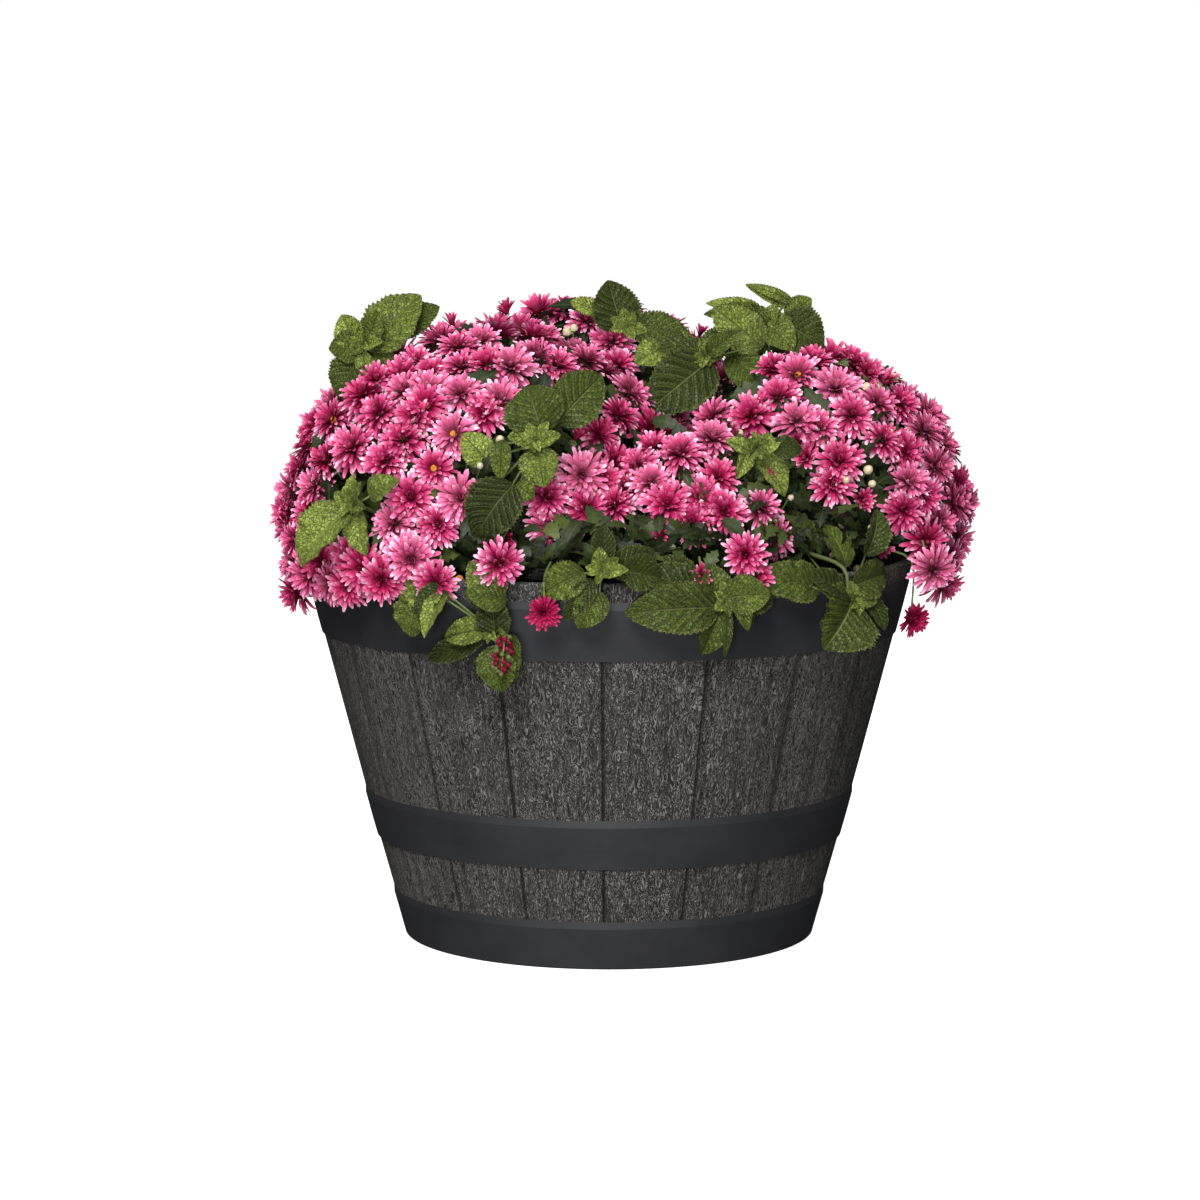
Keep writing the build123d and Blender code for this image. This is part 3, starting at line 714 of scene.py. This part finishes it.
# Where the flower heads, half-open heads and buds of the front show in the photograph, in
# pixels. Each is set on the mound behind its pixel. The heads of the back fill the rest evenly.
front_heads_px = [
    (456, 325), (442, 344), (459, 351), (482, 345), (502, 330), (540, 311), (565, 312), (587, 324),
    (522, 335), (541, 343), (612, 345), (417, 367), (432, 377), (462, 371), (487, 368), (510, 370),
    (535, 361), (556, 369), (585, 364), (617, 368), (402, 381), (406, 395), (430, 394), (462, 397),
    (366, 398), (427, 408), (382, 416), (417, 420), (455, 436), (485, 415), (500, 405), (405, 443),
    (356, 450), (435, 470), (388, 463), (337, 422), (327, 401), (312, 422), (305, 443), (330, 462),
    (296, 470), (612, 463), (596, 437), (616, 418), (627, 396), (319, 488), (292, 491), (412, 498),
    (461, 499), (647, 432), (675, 412), (681, 457), (715, 420), (712, 443), (718, 480), (627, 491),
    (652, 485), (752, 418), (775, 371), (780, 402), (798, 378), (812, 368), (800, 352), (832, 358),
    (851, 368), (835, 392), (818, 430), (797, 424), (851, 417), (875, 406), (897, 406), (903, 452),
    (881, 442), (921, 433), (936, 446), (922, 419), (838, 463), (832, 486), (907, 484), (932, 467),
    (952, 487), (965, 486), (397, 524), (439, 525), (430, 557), (402, 577), (362, 585), (352, 556),
    (335, 582), (374, 566), (300, 562), (315, 573), (305, 590), (324, 562), (289, 528),
    (285, 512), (313, 512),
    (300, 540), (522, 556), (548, 527), (585, 510), (545, 498), (581, 475), (616, 507), (692, 524),
    (668, 507), (723, 513), (726, 551), (758, 510), (773, 538), (902, 511), (893, 567), (920, 496),
    (911, 541), (935, 524), (950, 503), (967, 503), (955, 540), (945, 558), (930, 582), (460, 578),
    (418, 552),  (640, 470), (655, 452), (700, 500), (600, 480),
]
half_open_px = [
    (505, 309), (450, 311), (377, 382), (573, 443), (882, 387), (761, 478), (807, 459), (505, 537),
    (495, 563), (602, 531), (662, 538), (842, 542), (880, 548), (497, 298), (798, 447), (866, 377),
    (860, 500), (703, 334), (690, 571), (742, 570), (370, 357),
]
bud_px = [
    (480, 466), (437, 609), (457, 608), (501, 556), (857, 569), (868, 470), (872, 484), (866, 388),
    (878, 387), (890, 432), (751, 440), (567, 333), (574, 329), (672, 548), (871, 528), (863, 497),
    (846, 480), (480, 316), (492, 319), (842, 525), (833, 556), (790, 498), (470, 452), (500, 440),
]
picture_middle = 600
focal_pixels = camera_data.lens / camera_data.sensor_width * 2 * picture_middle


def sight_line(u, v):
    """The direction in which a pixel of the photograph looks."""
    way = Vector(((u - picture_middle) / focal_pixels, (picture_middle - v) / focal_pixels, -1))
    way.rotate(camera.rotation_euler)
    return np.array(way.normalized())


def on_mound(u, v, depth):
    """The mound behind a pixel, and the place on it, so far under its surface."""
    eye, way = np.array(camera_place), sight_line(u, v)
    found = []
    for name, mum in mum_places.items():
        middle = np.array([*mum["centre"], mum["top"] - mum["radius"]])
        radius = mum["radius"] - depth
        nearest = eye + way * ((middle - eye) @ way)
        miss = np.linalg.norm(nearest - middle)
        if miss > radius:
            found.append((100 + miss - radius, name, middle + (nearest - middle) * radius / miss))
            continue
        spot = nearest - way * math.sqrt(radius ** 2 - miss ** 2)
        outside = max(0.0, -depth_in_cell(name, spot[None])[0])
        found.append((np.linalg.norm(spot - eye) + 50 * outside, name, spot))
    return min(found, key=lambda one: one[0])[1:]


def head_part(kind, spot, axis, spin, size, tone):
    """A flower head set in place, with its calyx and a short stalk."""
    points, faces, where = kind
    turn = turned_to(axis, spin)
    placed = spot + size * points @ turn
    for _ in range(3):
        struck = hits_rim(placed)
        if struck.any():
            outward = np.array([spot[0], spot[1], 0]) / math.hypot(spot[0], spot[1])
            closest = np.hypot(placed[struck, 0], placed[struck, 1]).min()
            shift = outward * (stave_line[-1][1] + 0.0045 - closest)
            placed, spot = placed + shift, spot + shift
    parts = [(placed, faces, 0, np.column_stack([where, np.full(len(points), tone)]))]
    cup, cup_faces = button(calyx_radius, calyx_height)
    cup = cup * [1, -1, -1]
    parts.append((spot + size * cup @ turn, cup_faces, 1, np.full((len(cup), 3), 0.55)))
    foot = spot - axis / np.linalg.norm(axis) * 0.016 - [0, 0, 0.006]
    if hits_rim(foot[None])[0] or spot[2] < 0.345:
        foot = spot * [0.97, 0.97, 1] + [0, 0, max(0.350 - spot[2], 0.006)]
    parts.append(stem_part([spot, (spot + foot) / 2, foot], 0.0011, 0.0011, 0.6, 1, 5, 3))
    return parts


def bud_part(chance, spot, way):
    """A round bud of cream and pink on a thin stalk that comes up between the flowers."""
    radius = chance.uniform(0.0026, 0.0042)
    turn = turned_to(way, chance.uniform(0, math.tau))
    ball, faces = button(radius, radius * 1.3, 5)
    cup, cup_faces = button(radius * 1.02, radius * 0.9)
    cup = cup * [1, -1, -1]
    sideways = np.array([chance.uniform(-0.008, 0.008), 0.004, -0.010])
    foot = spot - way * 0.030 + [0, 0, -0.004]
    return [
        (spot + ball @ turn, faces, 3, np.full((len(ball), 3), chance.random())),
        (spot + cup @ turn, cup_faces, 1, np.full((len(cup), 3), 0.6)),
        stem_part([spot - way * radius * 0.8, spot - way * 0.014 + sideways, foot],
                  0.0007, 0.0010, 0.7, 1, 5, 7),
    ]


bud_finish, tree, shader = new_finish("cream_bud", 0.5, 0.35)
place = add_node(tree, "TexCoord").outputs["Object"]
scales = add_node(tree, "TexNoise", {"Vector": place, "Scale": 600.0, "Detail": 2.0}).outputs["Fac"]
colour = ramp(tree, scales, [
    (0.35, (0.42, 0.46, 0.20)), (0.5, (0.72, 0.66, 0.42)), (0.66, (0.75, 0.34, 0.42))])
tree.links.new(colour, shader.inputs["Base Color"])
relief = add_node(tree, "Bump", {"Height": scales, "Strength": 0.5, "Distance": 0.0006})
tree.links.new(relief.outputs[0], shader.inputs["Normal"])

towards_view = np.array([0.0, -1.0, 0.15])
flower_parts = {name: [] for name in mum_places}
set_spots = {name: [] for name in mum_places}
chance = np.random.default_rng(11)
for u, v in front_heads_px:
    depth = head_depth + 0.004 * chance.random()
    name, spot = on_mound(u, v, depth)
    mum = mum_places[name]
    way = (spot - [*mum["centre"], mum["top"] - mum["radius"]]) / (mum["radius"] - depth)
    axis = way + 0.45 * towards_view + chance.normal(0, 0.14, 3)
    kind = open_heads[chance.integers(6)]
    if (u, v) == (435, 470) or chance.random() < 0.05:
        kind = eyed_heads[0]
    flower_parts[name] += head_part(
        kind, spot, axis, chance.uniform(0, math.tau), chance.uniform(0.92, 1.14), chance.uniform(0.35, 1.0))
    if kind is eyed_heads[0]:
        eye, eye_faces = button(eye_radius, eye_height)
        flower_parts[name].append(
            (spot + (eye + [0, 0, eye_level]) @ turned_to(axis, 0), eye_faces, 2, np.ones((len(eye), 3))))
    set_spots[name].append(spot)
for u, v in half_open_px:
    name, spot = on_mound(u, v, 0.006)
    mum = mum_places[name]
    way = (spot - [*mum["centre"], mum["top"] - mum["radius"]]) / mum["radius"]
    axis = way + 0.4 * towards_view + chance.normal(0, 0.25, 3)
    flower_parts[name] += head_part(
        tight_heads[chance.integers(2)], spot, axis, chance.uniform(0, 6.28), chance.uniform(0.8, 1.1),
        chance.uniform(0.1, 0.7))
for u, v in bud_px:
    name, spot = on_mound(u, v, 0.006)
    mum = mum_places[name]
    way = (spot - [*mum["centre"], mum["top"] - mum["radius"]]) / mum["radius"]
    flower_parts[name] += bud_part(chance, spot, way / np.linalg.norm(way))


def shows_in_front(spot):
    """Whether a place on a mound can be seen from the front."""
    local = np.array((spot - np.array(camera_place)) @ np.array(camera.rotation_euler.to_matrix()))
    u = picture_middle + focal_pixels * local[0] / -local[2]
    v = picture_middle - focal_pixels * local[1] / -local[2]
    return np.linalg.norm(on_mound(u, v, head_depth)[1] - spot) < 0.030


for name, mum in mum_places.items():
    chance = np.random.default_rng(len(name) * 57 + 1)
    middle = np.array([*mum["centre"], mum["top"] - mum["radius"]])
    parts = flower_parts[name]
    for way in ball_ways(head_gap, mum["radius"] - head_depth):
        way = way + chance.normal(0, 0.035, 3)
        way /= np.linalg.norm(way)
        spot = middle + way * (mum["radius"] - head_depth - 0.004 * chance.random())
        axis = way + chance.normal(0, 0.16, 3)
        spin, size, tone = chance.uniform(0, math.tau), chance.uniform(0.88, 1.10), chance.uniform(0.25, 0.95)
        pick, luck = chance.integers(8), chance.random()
        over_rim = math.hypot(spot[0], spot[1]) > 0.285
        if spot[2] < (0.306 if over_rim else 0.342) or depth_in_cell(name, spot[None])[0] < 0.002:
            continue
        if set_spots[name] and np.linalg.norm(np.array(set_spots[name]) - spot, axis=1).min() < 0.027:
            continue
        over_tub = math.hypot(spot[0], spot[1]) < safe_reach
        if shows_in_front(spot) or (over_tub and hits_rim(spot[None] - [0, 0, head_droop])[0]):
            continue
        kind = open_heads[pick]
        if luck < 0.06:
            kind = tight_heads[pick % 2]
        elif luck > 0.95:
            kind = eyed_heads[pick % 2]
        parts += head_part(kind, spot, axis, spin, size, tone)
        if luck > 0.95:
            eye, eye_faces = button(eye_radius, eye_height)
            turn = turned_to(axis, spin)
            placed = spot + size * (eye + [0, 0, eye_level]) @ turn
            parts.append((placed, eye_faces, 2, np.ones((len(eye), 3))))
        if luck < 0.14:
            parts += bud_part(chance, spot + 0.024 * np.cross(way, [0, 0, 1]) + 0.008 * way, way)
    lay_piece(f"mum_{name}_flowers", parts, [petal_finish, stem_finish, disc_finish, bud_finish],
              f"mum_{name}_blooms")

# Broad-leaved shoots: soft, quilted, toothed leaves in whorls on square green stems, growing up
# through the flowers and hanging over the rim. The youngest leaves are small and yellow-green.
broad_leaf, tree, shader = new_finish("quilted_leaf_green", 0.5, 0.18)
marks = add_node(tree, "Attribute", attribute_name="marks").outputs["Vector"]
part = add_node(tree, "SeparateXYZ", {0: marks}).outputs
place = add_node(tree, "TexCoord").outputs["Object"]
off_midrib = math_node(tree, "ABSOLUTE", part["Y"])
mottle = add_node(tree, "TexNoise", {"Vector": place, "Scale": 260.0, "Detail": 4.0}).outputs["Fac"]
net = add_node(tree, "TexVoronoi", {"Vector": place, "Scale": 330.0}, feature="DISTANCE_TO_EDGE")
net = net.outputs["Distance"]
slant = math_node(tree, "MULTIPLY_ADD", off_midrib, -0.30, part["X"])
wave = math_node(tree, "FRACT", math_node(tree, "MULTIPLY", slant, 8.0))
from_vein = math_node(tree, "ABSOLUTE", math_node(tree, "SUBTRACT", wave, 0.5))
side_vein = ramp(tree, from_vein, [(0.0, 1.0), (0.11, 0.0)])
midrib = ramp(tree, off_midrib, [(0.0, 1.0), (0.06, 0.0)])
fine_vein = ramp(tree, net, [(0.0, 0.45), (0.10, 0.0)])
colour = ramp(tree, part["Z"], [
    (0.0, (0.012, 0.020, 0.003)), (0.3, (0.034, 0.052, 0.006)),
    (0.6, (0.110, 0.156, 0.020)), (1.0, (0.37, 0.46, 0.085))])
colour = mixed(tree, ramp(tree, mottle, [(0.38, 0.0), (0.66, 0.62)]), colour, (0.010, 0.015, 0.003))
base_shade = ramp(tree, part["X"], [(0.0, 0.55), (0.38, 0.0)])
colour = mixed(tree, base_shade, colour, (0.012, 0.018, 0.003))
# Painted shade on one side of each quilt between the side veins, and a painted highlight on the other.
colour = mixed(tree, ramp(tree, wave, [(0.50, 0.0), (0.95, 0.26)]), colour, (0.009, 0.013, 0.003))
colour = mixed(tree, ramp(tree, wave, [(0.05, 0.15), (0.45, 0.0)]), colour, (0.33, 0.37, 0.13))
veins = math_node(tree, "MAXIMUM", math_node(tree, "MULTIPLY", side_vein, 0.45), midrib)
veins = math_node(tree, "MAXIMUM", veins, math_node(tree, "MULTIPLY", fine_vein, 0.35))
colour = mixed(tree, math_node(tree, "MULTIPLY", veins, 0.55), colour, (0.26, 0.29, 0.10))
rim_light = ramp(tree, off_midrib, [(0.86, 0.0), (1.0, 0.45)])
colour = mixed(tree, rim_light, colour, (0.22, 0.23, 0.075))
tree.links.new(colour, shader.inputs["Base Color"])
tree.links.new(ramp(tree, mottle, [(0.3, 0.42), (0.7, 0.62)]), shader.inputs["Roughness"])
sunk = math_node(tree, "SUBTRACT", 1.0, math_node(tree, "MAXIMUM", veins, fine_vein))
relief = add_node(tree, "Bump", {"Height": sunk, "Strength": 1.0, "Distance": 0.0022})
tree.links.new(relief.outputs[0], shader.inputs["Normal"])

leaf_rows = 49
leaf_columns = 13
leaf_thickness = 0.0005


def broad_leaf_part(start, tip, width, facing, tone, chance):
    """A toothed, quilted leaf from its stalk to its tip, with its face towards a direction."""
    start, tip = np.array(start), np.array(tip)
    length = np.linalg.norm(tip - start)
    along = (tip - start) / length
    normal = facing - along * (facing @ along)
    normal /= np.linalg.norm(normal)
    sideways = np.cross(normal, along)
    t, v = np.meshgrid(np.linspace(0, 1, leaf_rows), np.linspace(-1, 1, leaf_columns), indexing="ij")
    outline = np.clip(t, 0.004, 1) ** 0.52 * np.clip(1 - t, 0, 1) ** 0.78
    outline /= outline.max()
    teeth = np.array([0.0, 0.55, 1.0])[np.arange(leaf_rows) % 3]
    toothed = 1 + (0.11 * teeth[:, None] - 0.03) * np.abs(v) ** 5
    half = width / 2 * np.maximum(outline, 0.02) * toothed
    fold, arch, droop, wave, twist = (
        chance.uniform(0.15, 0.65), chance.uniform(0.03, 0.12), chance.uniform(0.0, 0.16),
        chance.uniform(0, 6.28), chance.normal(0, 0.28))
    ribs = np.abs(np.sin(math.pi * 8 * (t - 0.30 * np.abs(v))))
    quilt = 0.075 * width * ribs ** 0.7 * np.abs(v) ** 0.5 * (1 - np.abs(v) ** 4) * np.sin(math.pi * t) ** 0.5
    ripple = 0.05 * width * v ** 2 * np.sin(3.3 * math.tau * t + wave) * np.sin(math.pi * t)
    height = (fold * np.abs(v) * half + arch * length * 4 * t * (1 - t) - droop * length * t ** 2
              + quilt + ripple + twist * (t + 0.2) * v * half)
    middle = start + t[..., None] * (tip - start)
    top = middle + (v * half)[..., None] * sideways + height[..., None] * normal
    top = top.reshape(-1, 3)
    points = np.concatenate([top, top - leaf_thickness * normal])
    upper = sheet_faces(leaf_rows, leaf_columns)
    count = len(top)
    border = np.concatenate([
        np.arange(leaf_columns),
        np.arange(1, leaf_rows) * leaf_columns + leaf_columns - 1,
        (leaf_rows - 1) * leaf_columns + np.arange(leaf_columns - 2, -1, -1),
        np.arange(leaf_rows - 2, 0, -1) * leaf_columns])
    following = np.roll(border, -1)
    edge = np.stack([border, border + count, following + count, following], 1)
    faces = np.concatenate([upper[:, ::-1], upper + count, edge])
    marks = np.column_stack([t.ravel(), v.ravel(), np.full(count, tone)])
    return points, faces, 0, np.concatenate([marks, marks])


def seed_spike(chance, top, foot):
    """A short hanging spike of red-brown seed cups."""
    parts = [stem_part([top, (top + foot) / 2, foot], 0.0009, 0.0007, 0.9, 1, 5, 5)]
    cups, cup_radius, cup_height = 38, 0.0019, 0.0030
    for i in range(cups):
        share = i / (cups - 1)
        turned = i * 2.4
        out = np.array([math.cos(turned), math.sin(turned) * 0.7 - 0.2, -0.25])
        spot = top + (foot - top) * share + out * 0.0058 * math.sin(math.pi * (0.15 + 0.8 * share))
        ball, faces = button(cup_radius, cup_height, sides=7)
        ball = spot + ball * chance.uniform(0.8, 1.2) @ turned_to(out, 0)
        shade = chance.uniform(0.08, 0.36)
        parts.append((ball, faces, 1 if i % 3 == 0 else 2, np.tile([shade, 0.5, 0.5], (len(ball), 1))))
    return parts


# Shoots: where the leaves spring from, bearing from the front, further points down the stem,
# and leaves from stalk to tip with their width, as offsets across, back and up. All in mm.
mm = 0.001
shoots = {
    "shoot_top_left": ((-205, -72, 512), -15, [(-180, -60, 480)], [
        ((3, 0, -2), (46, 6, 43), 42), ((24, 16, 8), (61, 22, 33), 26), ((-6, 0, 0), (-21, 4, 26), 24),
        ((4, -4, 4), (11, -8, 29), 19), ((-5, -4, -10), (-23, -12, -43), 29),
        ((-5, 0, -2), (-31, -4, -2), 26)]),
    "shoot_top_centre": ((16, 6, 524), 0, [(14, 14, 492)], [
        ((-5, 0, -2), (-17, 0, 42), 38), ((4, -2, 0), (54, -10, -4), 28),
        ((-24, 14, 14), (-50, 18, 24), 14)]),
    "shoot_centre_right": ((82, -14, 500), 0, [(78, 10, 470)], [
        ((5, -4, -2), (-50, -36, -44), 47), ((-36, -4, 8), (-60, -10, -3), 24),
        ((2, 0, 5), (-47, -4, 14), 20),
        ((2, -6, 3), (30, -14, 24), 15), ((50, 10, 8), (8, 12, 43), 32)]),
    "shoot_top_right": ((136, 16, 528), 0, [(140, 20, 496)], [
        ((-3, 4, 11), (-52, 4, 18), 14), ((0, -8, -10), (-43, -14, 9), 29), ((18, 4, 14), (-17, 4, 34), 8),
        ((14, -2, 2), (50, -8, -19), 38), ((2, -8, 0), (23, -20, -22), 26)]),
    "shoot_centre_left": ((-58, -228, 440), -8, [(-56, -190, 425)], [
        ((4, 4, 8), (-8, 14, 46), 44), ((16, 12, 15), (52, 30, 53), 36), ((2, 0, 4), (-24, 0, 5), 15),
        ((0, -2, -4), (5, -8, -35), 29), ((-28, 2, 2), (-30, -2, -30), 15),
        ((-19, 0, -33), (-52, -2, -76), 40),
        ((-17, 0, -33), (-3, -4, -44), 20)]),
    "shoot_left": ((-206, -206, 388), -35, [(-185, -170, 375)], [
        ((-2, 0, -3), (-46, 8, -50), 37), ((1, 0, 3), (-2, 4, 26), 17), ((12, 0, 7), (35, -6, 22), 22),
        ((4, -2, -4), (7, -8, -40), 20)]),
    "shoot_young_right": ((117, -192, 432), 25, [(112, -166, 415)], [
        ((-4, 0, 0), (-23, -6, 8), 12), ((4, -2, 0), (22, -2, 8), 11), ((14, -2, 2), (40, 6, 0), 18)]),
    "shoot_drape_left": ((-92, -258, 290), -20, [(-92, -256, 338), (-76, -210, 346)], [
        ((2, -2, 24), (-24, 4, 36), 18), ((2, -6, -4), (0, -4, 30), 25), ((-4, -6, 4), (-40, 8, -4), 20),
        ((-8, -6, -4), (-54, 18, -24), 18), ((2, -10, -8), (6, -12, -46), 29),
        ((14, -6, 0), (15, -8, -40), 21)]),
    "shoot_drape_far_left": ((-152, -232, 316), -33, [(-152, -230, 338), (-124, -186, 346)], [
        ((0, -4, 0), (-10, 0, -32), 28)]),
    "shoot_rim_centre": ((-7, -270, 340), 0, [(-6, -228, 346)], [
        ((-13, 0, 0), (-48, -2, -17), 26), ((2, 2, 6), (2, 8, 38), 17), ((-5, -3, -6), (-30, -5, -38), 17),
        ((0, -4, -15), (-18, -8, -44), 25), ((18, 0, 1), (48, 2, -5), 26)]),
    "shoot_drape_right": ((90, -258, 314), 16, [(90, -257, 338), (76, -212, 346)], [
        ((-4, -4, -3), (-78, -18, -6), 37), ((-6, -2, 5), (-11, -2, 32), 22), ((2, -2, 5), (41, 16, 3), 28),
        ((12, -2, 2), (22, 0, -20), 12), ((-2, -4, -5), (-16, -8, -41), 23),
        ((3, -6, -1), (2, -10, -43), 7)]),
    "shoot_drape_far_right": ((194, -196, 309), 44, [(193, -195, 338), (160, -160, 346)], [
        ((-26, -20, 16), (-67, -46, 20), 30), ((-3, -4, -2), (-31, -26, 21), 17),
        ((3, -4, 0), (-20, -22, -37), 46), ((3, 2, 2), (27, 26, 8), 23)]),
    "shoot_back_left": ((-120, 226, 428), -152, [(-100, 186, 410)], [
        ((4, -2, 6), (-6, -8, 44), 40), ((10, -2, 2), (44, 4, 22), 30), ((-6, -2, 0), (-38, 4, -18), 30),
        ((2, -4, -6), (8, -10, -42), 26)]),
    "shoot_back_right": ((110, 246, 400), 156, [(98, 206, 388)], [
        ((4, -2, 6), (12, -8, 42), 38), ((-8, -2, 2), (-42, 4, 20), 28), ((6, -2, -2), (40, 4, -16), 30),
        ((0, -4, -6), (-10, -8, -40), 28)]),
    "shoot_back_drape": ((16, 272, 332), 180, [(16, 270, 340), (14, 226, 346)], [
        ((-8, -4, -2), (-46, 2, -14), 30), ((8, -4, -2), (44, 2, -20), 30),
        ((0, -6, -8), (-6, -10, -50), 28)]),
}

# Further leaves of the fuller shoots, behind and below the first ones: the stalk and the tip as
# pixels of the photograph, each followed by its place from front to back, and the width. In mm.
more_leaves_px = {
    "shoot_drape_left": [
        ((500, 600), -264, (468, 563), -268, 27), ((506, 602), -266, (466, 592), -270, 20),
        ((446, 588), -250, (414, 612), -262, 19), ((444, 594), -256, (424, 638), -274, 19)],
    "shoot_rim_centre": [
        ((612, 574), -256, (655, 550), -252, 24), ((601, 560), -250, (606, 523), -244, 17),
        ((622, 566), -262, (646, 582), -272, 17)],
    "shoot_drape_right": [
        ((702, 592), -262, (640, 573), -262, 28), ((724, 598), -264, (771, 594), -262, 28),
        ((735, 598), -268, (749, 630), -274, 12), ((690, 584), -252, (664, 556), -250, 21)],
    "shoot_drape_far_right": [
        ((812, 586), -226, (756, 574), -246, 27), ((842, 592), -206, (806, 572), -226, 18),
        ((852, 586), -196, (888, 572), -176, 28), ((868, 598), -186, (888, 628), -190, 15),
        ((846, 568), -160, (822, 522), -150, 23), ((806, 556), -160, (790, 506), -140, 23),
        ((866, 556), -140, (880, 508), -126, 20)],
    "shoot_centre_left": [
        ((490, 462), -206, (462, 434), -206, 24), ((500, 480), -214, (478, 512), -222, 18)],
    "shoot_top_left": [
        ((376, 350), -70, (396, 382), -76, 20), ((380, 338), -74, (402, 322), -76, 17),
        ((362, 352), -80, (372, 384), -86, 15)],
    "shoot_top_right": [
        ((764, 314), 18, (704, 314), 6, 15), ((792, 302), 20, (746, 284), 16, 9),
        ((768, 336), 24, (714, 348), 14, 33), ((786, 318), 22, (812, 298), 26, 19)],
    "shoot_centre_right": [
        ((702, 352), -6, (738, 328), 6, 21), ((732, 352), 4, (762, 398), -14, 28),
        ((694, 350), -4, (664, 330), 0, 17)],
    "shoot_young_right": [
        ((748, 446), -190, (738, 478), -196, 13), ((756, 452), -176, (786, 496), -180, 20)],
}


def place_behind(pixel, back):
    """The place behind a pixel, at a distance from front to back, to a whole millimetre."""
    eye, way = np.array(camera_place), sight_line(*pixel)
    return np.round((eye + way * (back * mm - eye[1]) / way[1]) / mm)


for name, (at, bearing, stem, leaves) in shoots.items():
    leaves = leaves + [
        (place_behind(foot_px, foot_back) - at, place_behind(tip_px, tip_back) - at, width)
        for foot_px, foot_back, tip_px, tip_back, width in more_leaves_px.get(name, [])]
    chance = np.random.default_rng(sum(name.encode()))
    at = np.array(at) * mm
    angle = math.radians(bearing)
    facing = np.array([math.sin(angle), -math.cos(angle), 0.25])
    facing /= np.linalg.norm(facing)
    turn = np.eye(3)
    if abs(bearing) > 90:
        turn = np.array([
            [math.cos(angle), math.sin(angle), 0], [-math.sin(angle), math.cos(angle), 0], [0, 0, 1]])
    stem_points = [at] + [np.array(point) * mm for point in stem]
    if len(stem_points) == 2:
        stem_points.insert(1, sum(stem_points) / 2 + [0, 0, 0.002])
    parts = [stem_part(stem_points, 0.0014, 0.0020, 0.45, 1, 6, 9)]
    for start, tip, width in leaves:
        foot, end = at + np.array(start) * mm @ turn, at + np.array(tip) * mm @ turn
        # Painted light and shade: leaves of the high shoots are lighter, those of the low shoots over the rim
        # darker.
        painted_light_by_height = 1.06 if at[2] > 0.38 else 0.74
        tone = min(1.0, max(0.08, painted_light_by_height - width / 62 + chance.normal(0, 0.24)))
        parts.append(broad_leaf_part(foot, end, 1.12 * width * mm, facing, tone, chance))
        way = (end - foot) / np.linalg.norm(end - foot)
        parts.append(stem_part([at, (at + foot) / 2, foot + way * 0.003], 0.0012, 0.0009, 0.55, 1, 5, 4))
    # The growing tip: a rosette of small young leaves, the inner ones smallest
    for i in range(7):
        turned = math.tau * i / 7 + chance.uniform(-0.3, 0.3)
        reach = (0.020 - 0.0016 * i) * chance.uniform(0.8, 1.15)
        sideways = np.cross([0.0, 0.0, 1.0], facing)
        way = math.cos(turned) * sideways + math.sin(turned) * np.cross(facing, sideways) + 0.45 * facing
        foot = at + facing * (0.002 + 0.0008 * i)
        parts.append(broad_leaf_part(
            foot, foot + reach * way, reach * chance.uniform(0.55, 0.8), facing,
            chance.uniform(0.65, 1.0), chance))
    if name == "shoot_drape_left":
        parts += seed_spike(chance, at + np.array([9, -18, 0]) * mm, at + np.array([6, -24, -30]) * mm)
    lay_piece(name + "_leaves", parts, [broad_leaf, stem_finish, petal_finish], name)

# Loose buds: two half-open magenta flowers that hang over the rim on thin stalks, each held in
# its green calyx.
bud_calyx_radius, bud_calyx_height = 0.0065, 0.0055
buds = {
    "bud_right": ((259, -84, 281), 11, (0.5, -0.8, -0.25), [(258, -92, 336), (222, -90, 344)]),
    "bud_front": ((-52, -285, 309), 10, (0.05, -1.0, -0.12), [(-52, -273, 338), (-46, -230, 346)]),
}
for name, (centre, radius, faces_way, stalk) in buds.items():
    chance = np.random.default_rng(sum(name.encode()))
    centre = np.array(centre) * mm
    stalk = [np.array(point) * mm for point in stalk]
    axis = np.array(faces_way)
    foot = centre - axis / np.linalg.norm(axis) * radius * 0.6 * mm
    turn, size = turned_to(axis, 0.4), 0.80 * radius / 11
    points, faces, where = bud_head
    marks = np.column_stack([where * [0.72, 1], np.full(len(points), 0.15)])
    parts = [(foot + size * points @ turn, faces, 0, marks)]
    cup, cup_faces = button(bud_calyx_radius, bud_calyx_height)
    parts.append((foot + size * (cup * [1, -1, -1]) @ turn, cup_faces, 1, np.full((len(cup), 3), 0.55)))
    parts.append(stem_part([foot, *stalk], 0.0010, 0.0012, 0.6, 1, 6, 9))
    lay_piece(name + "_flower", parts, [petal_finish, stem_finish], name)
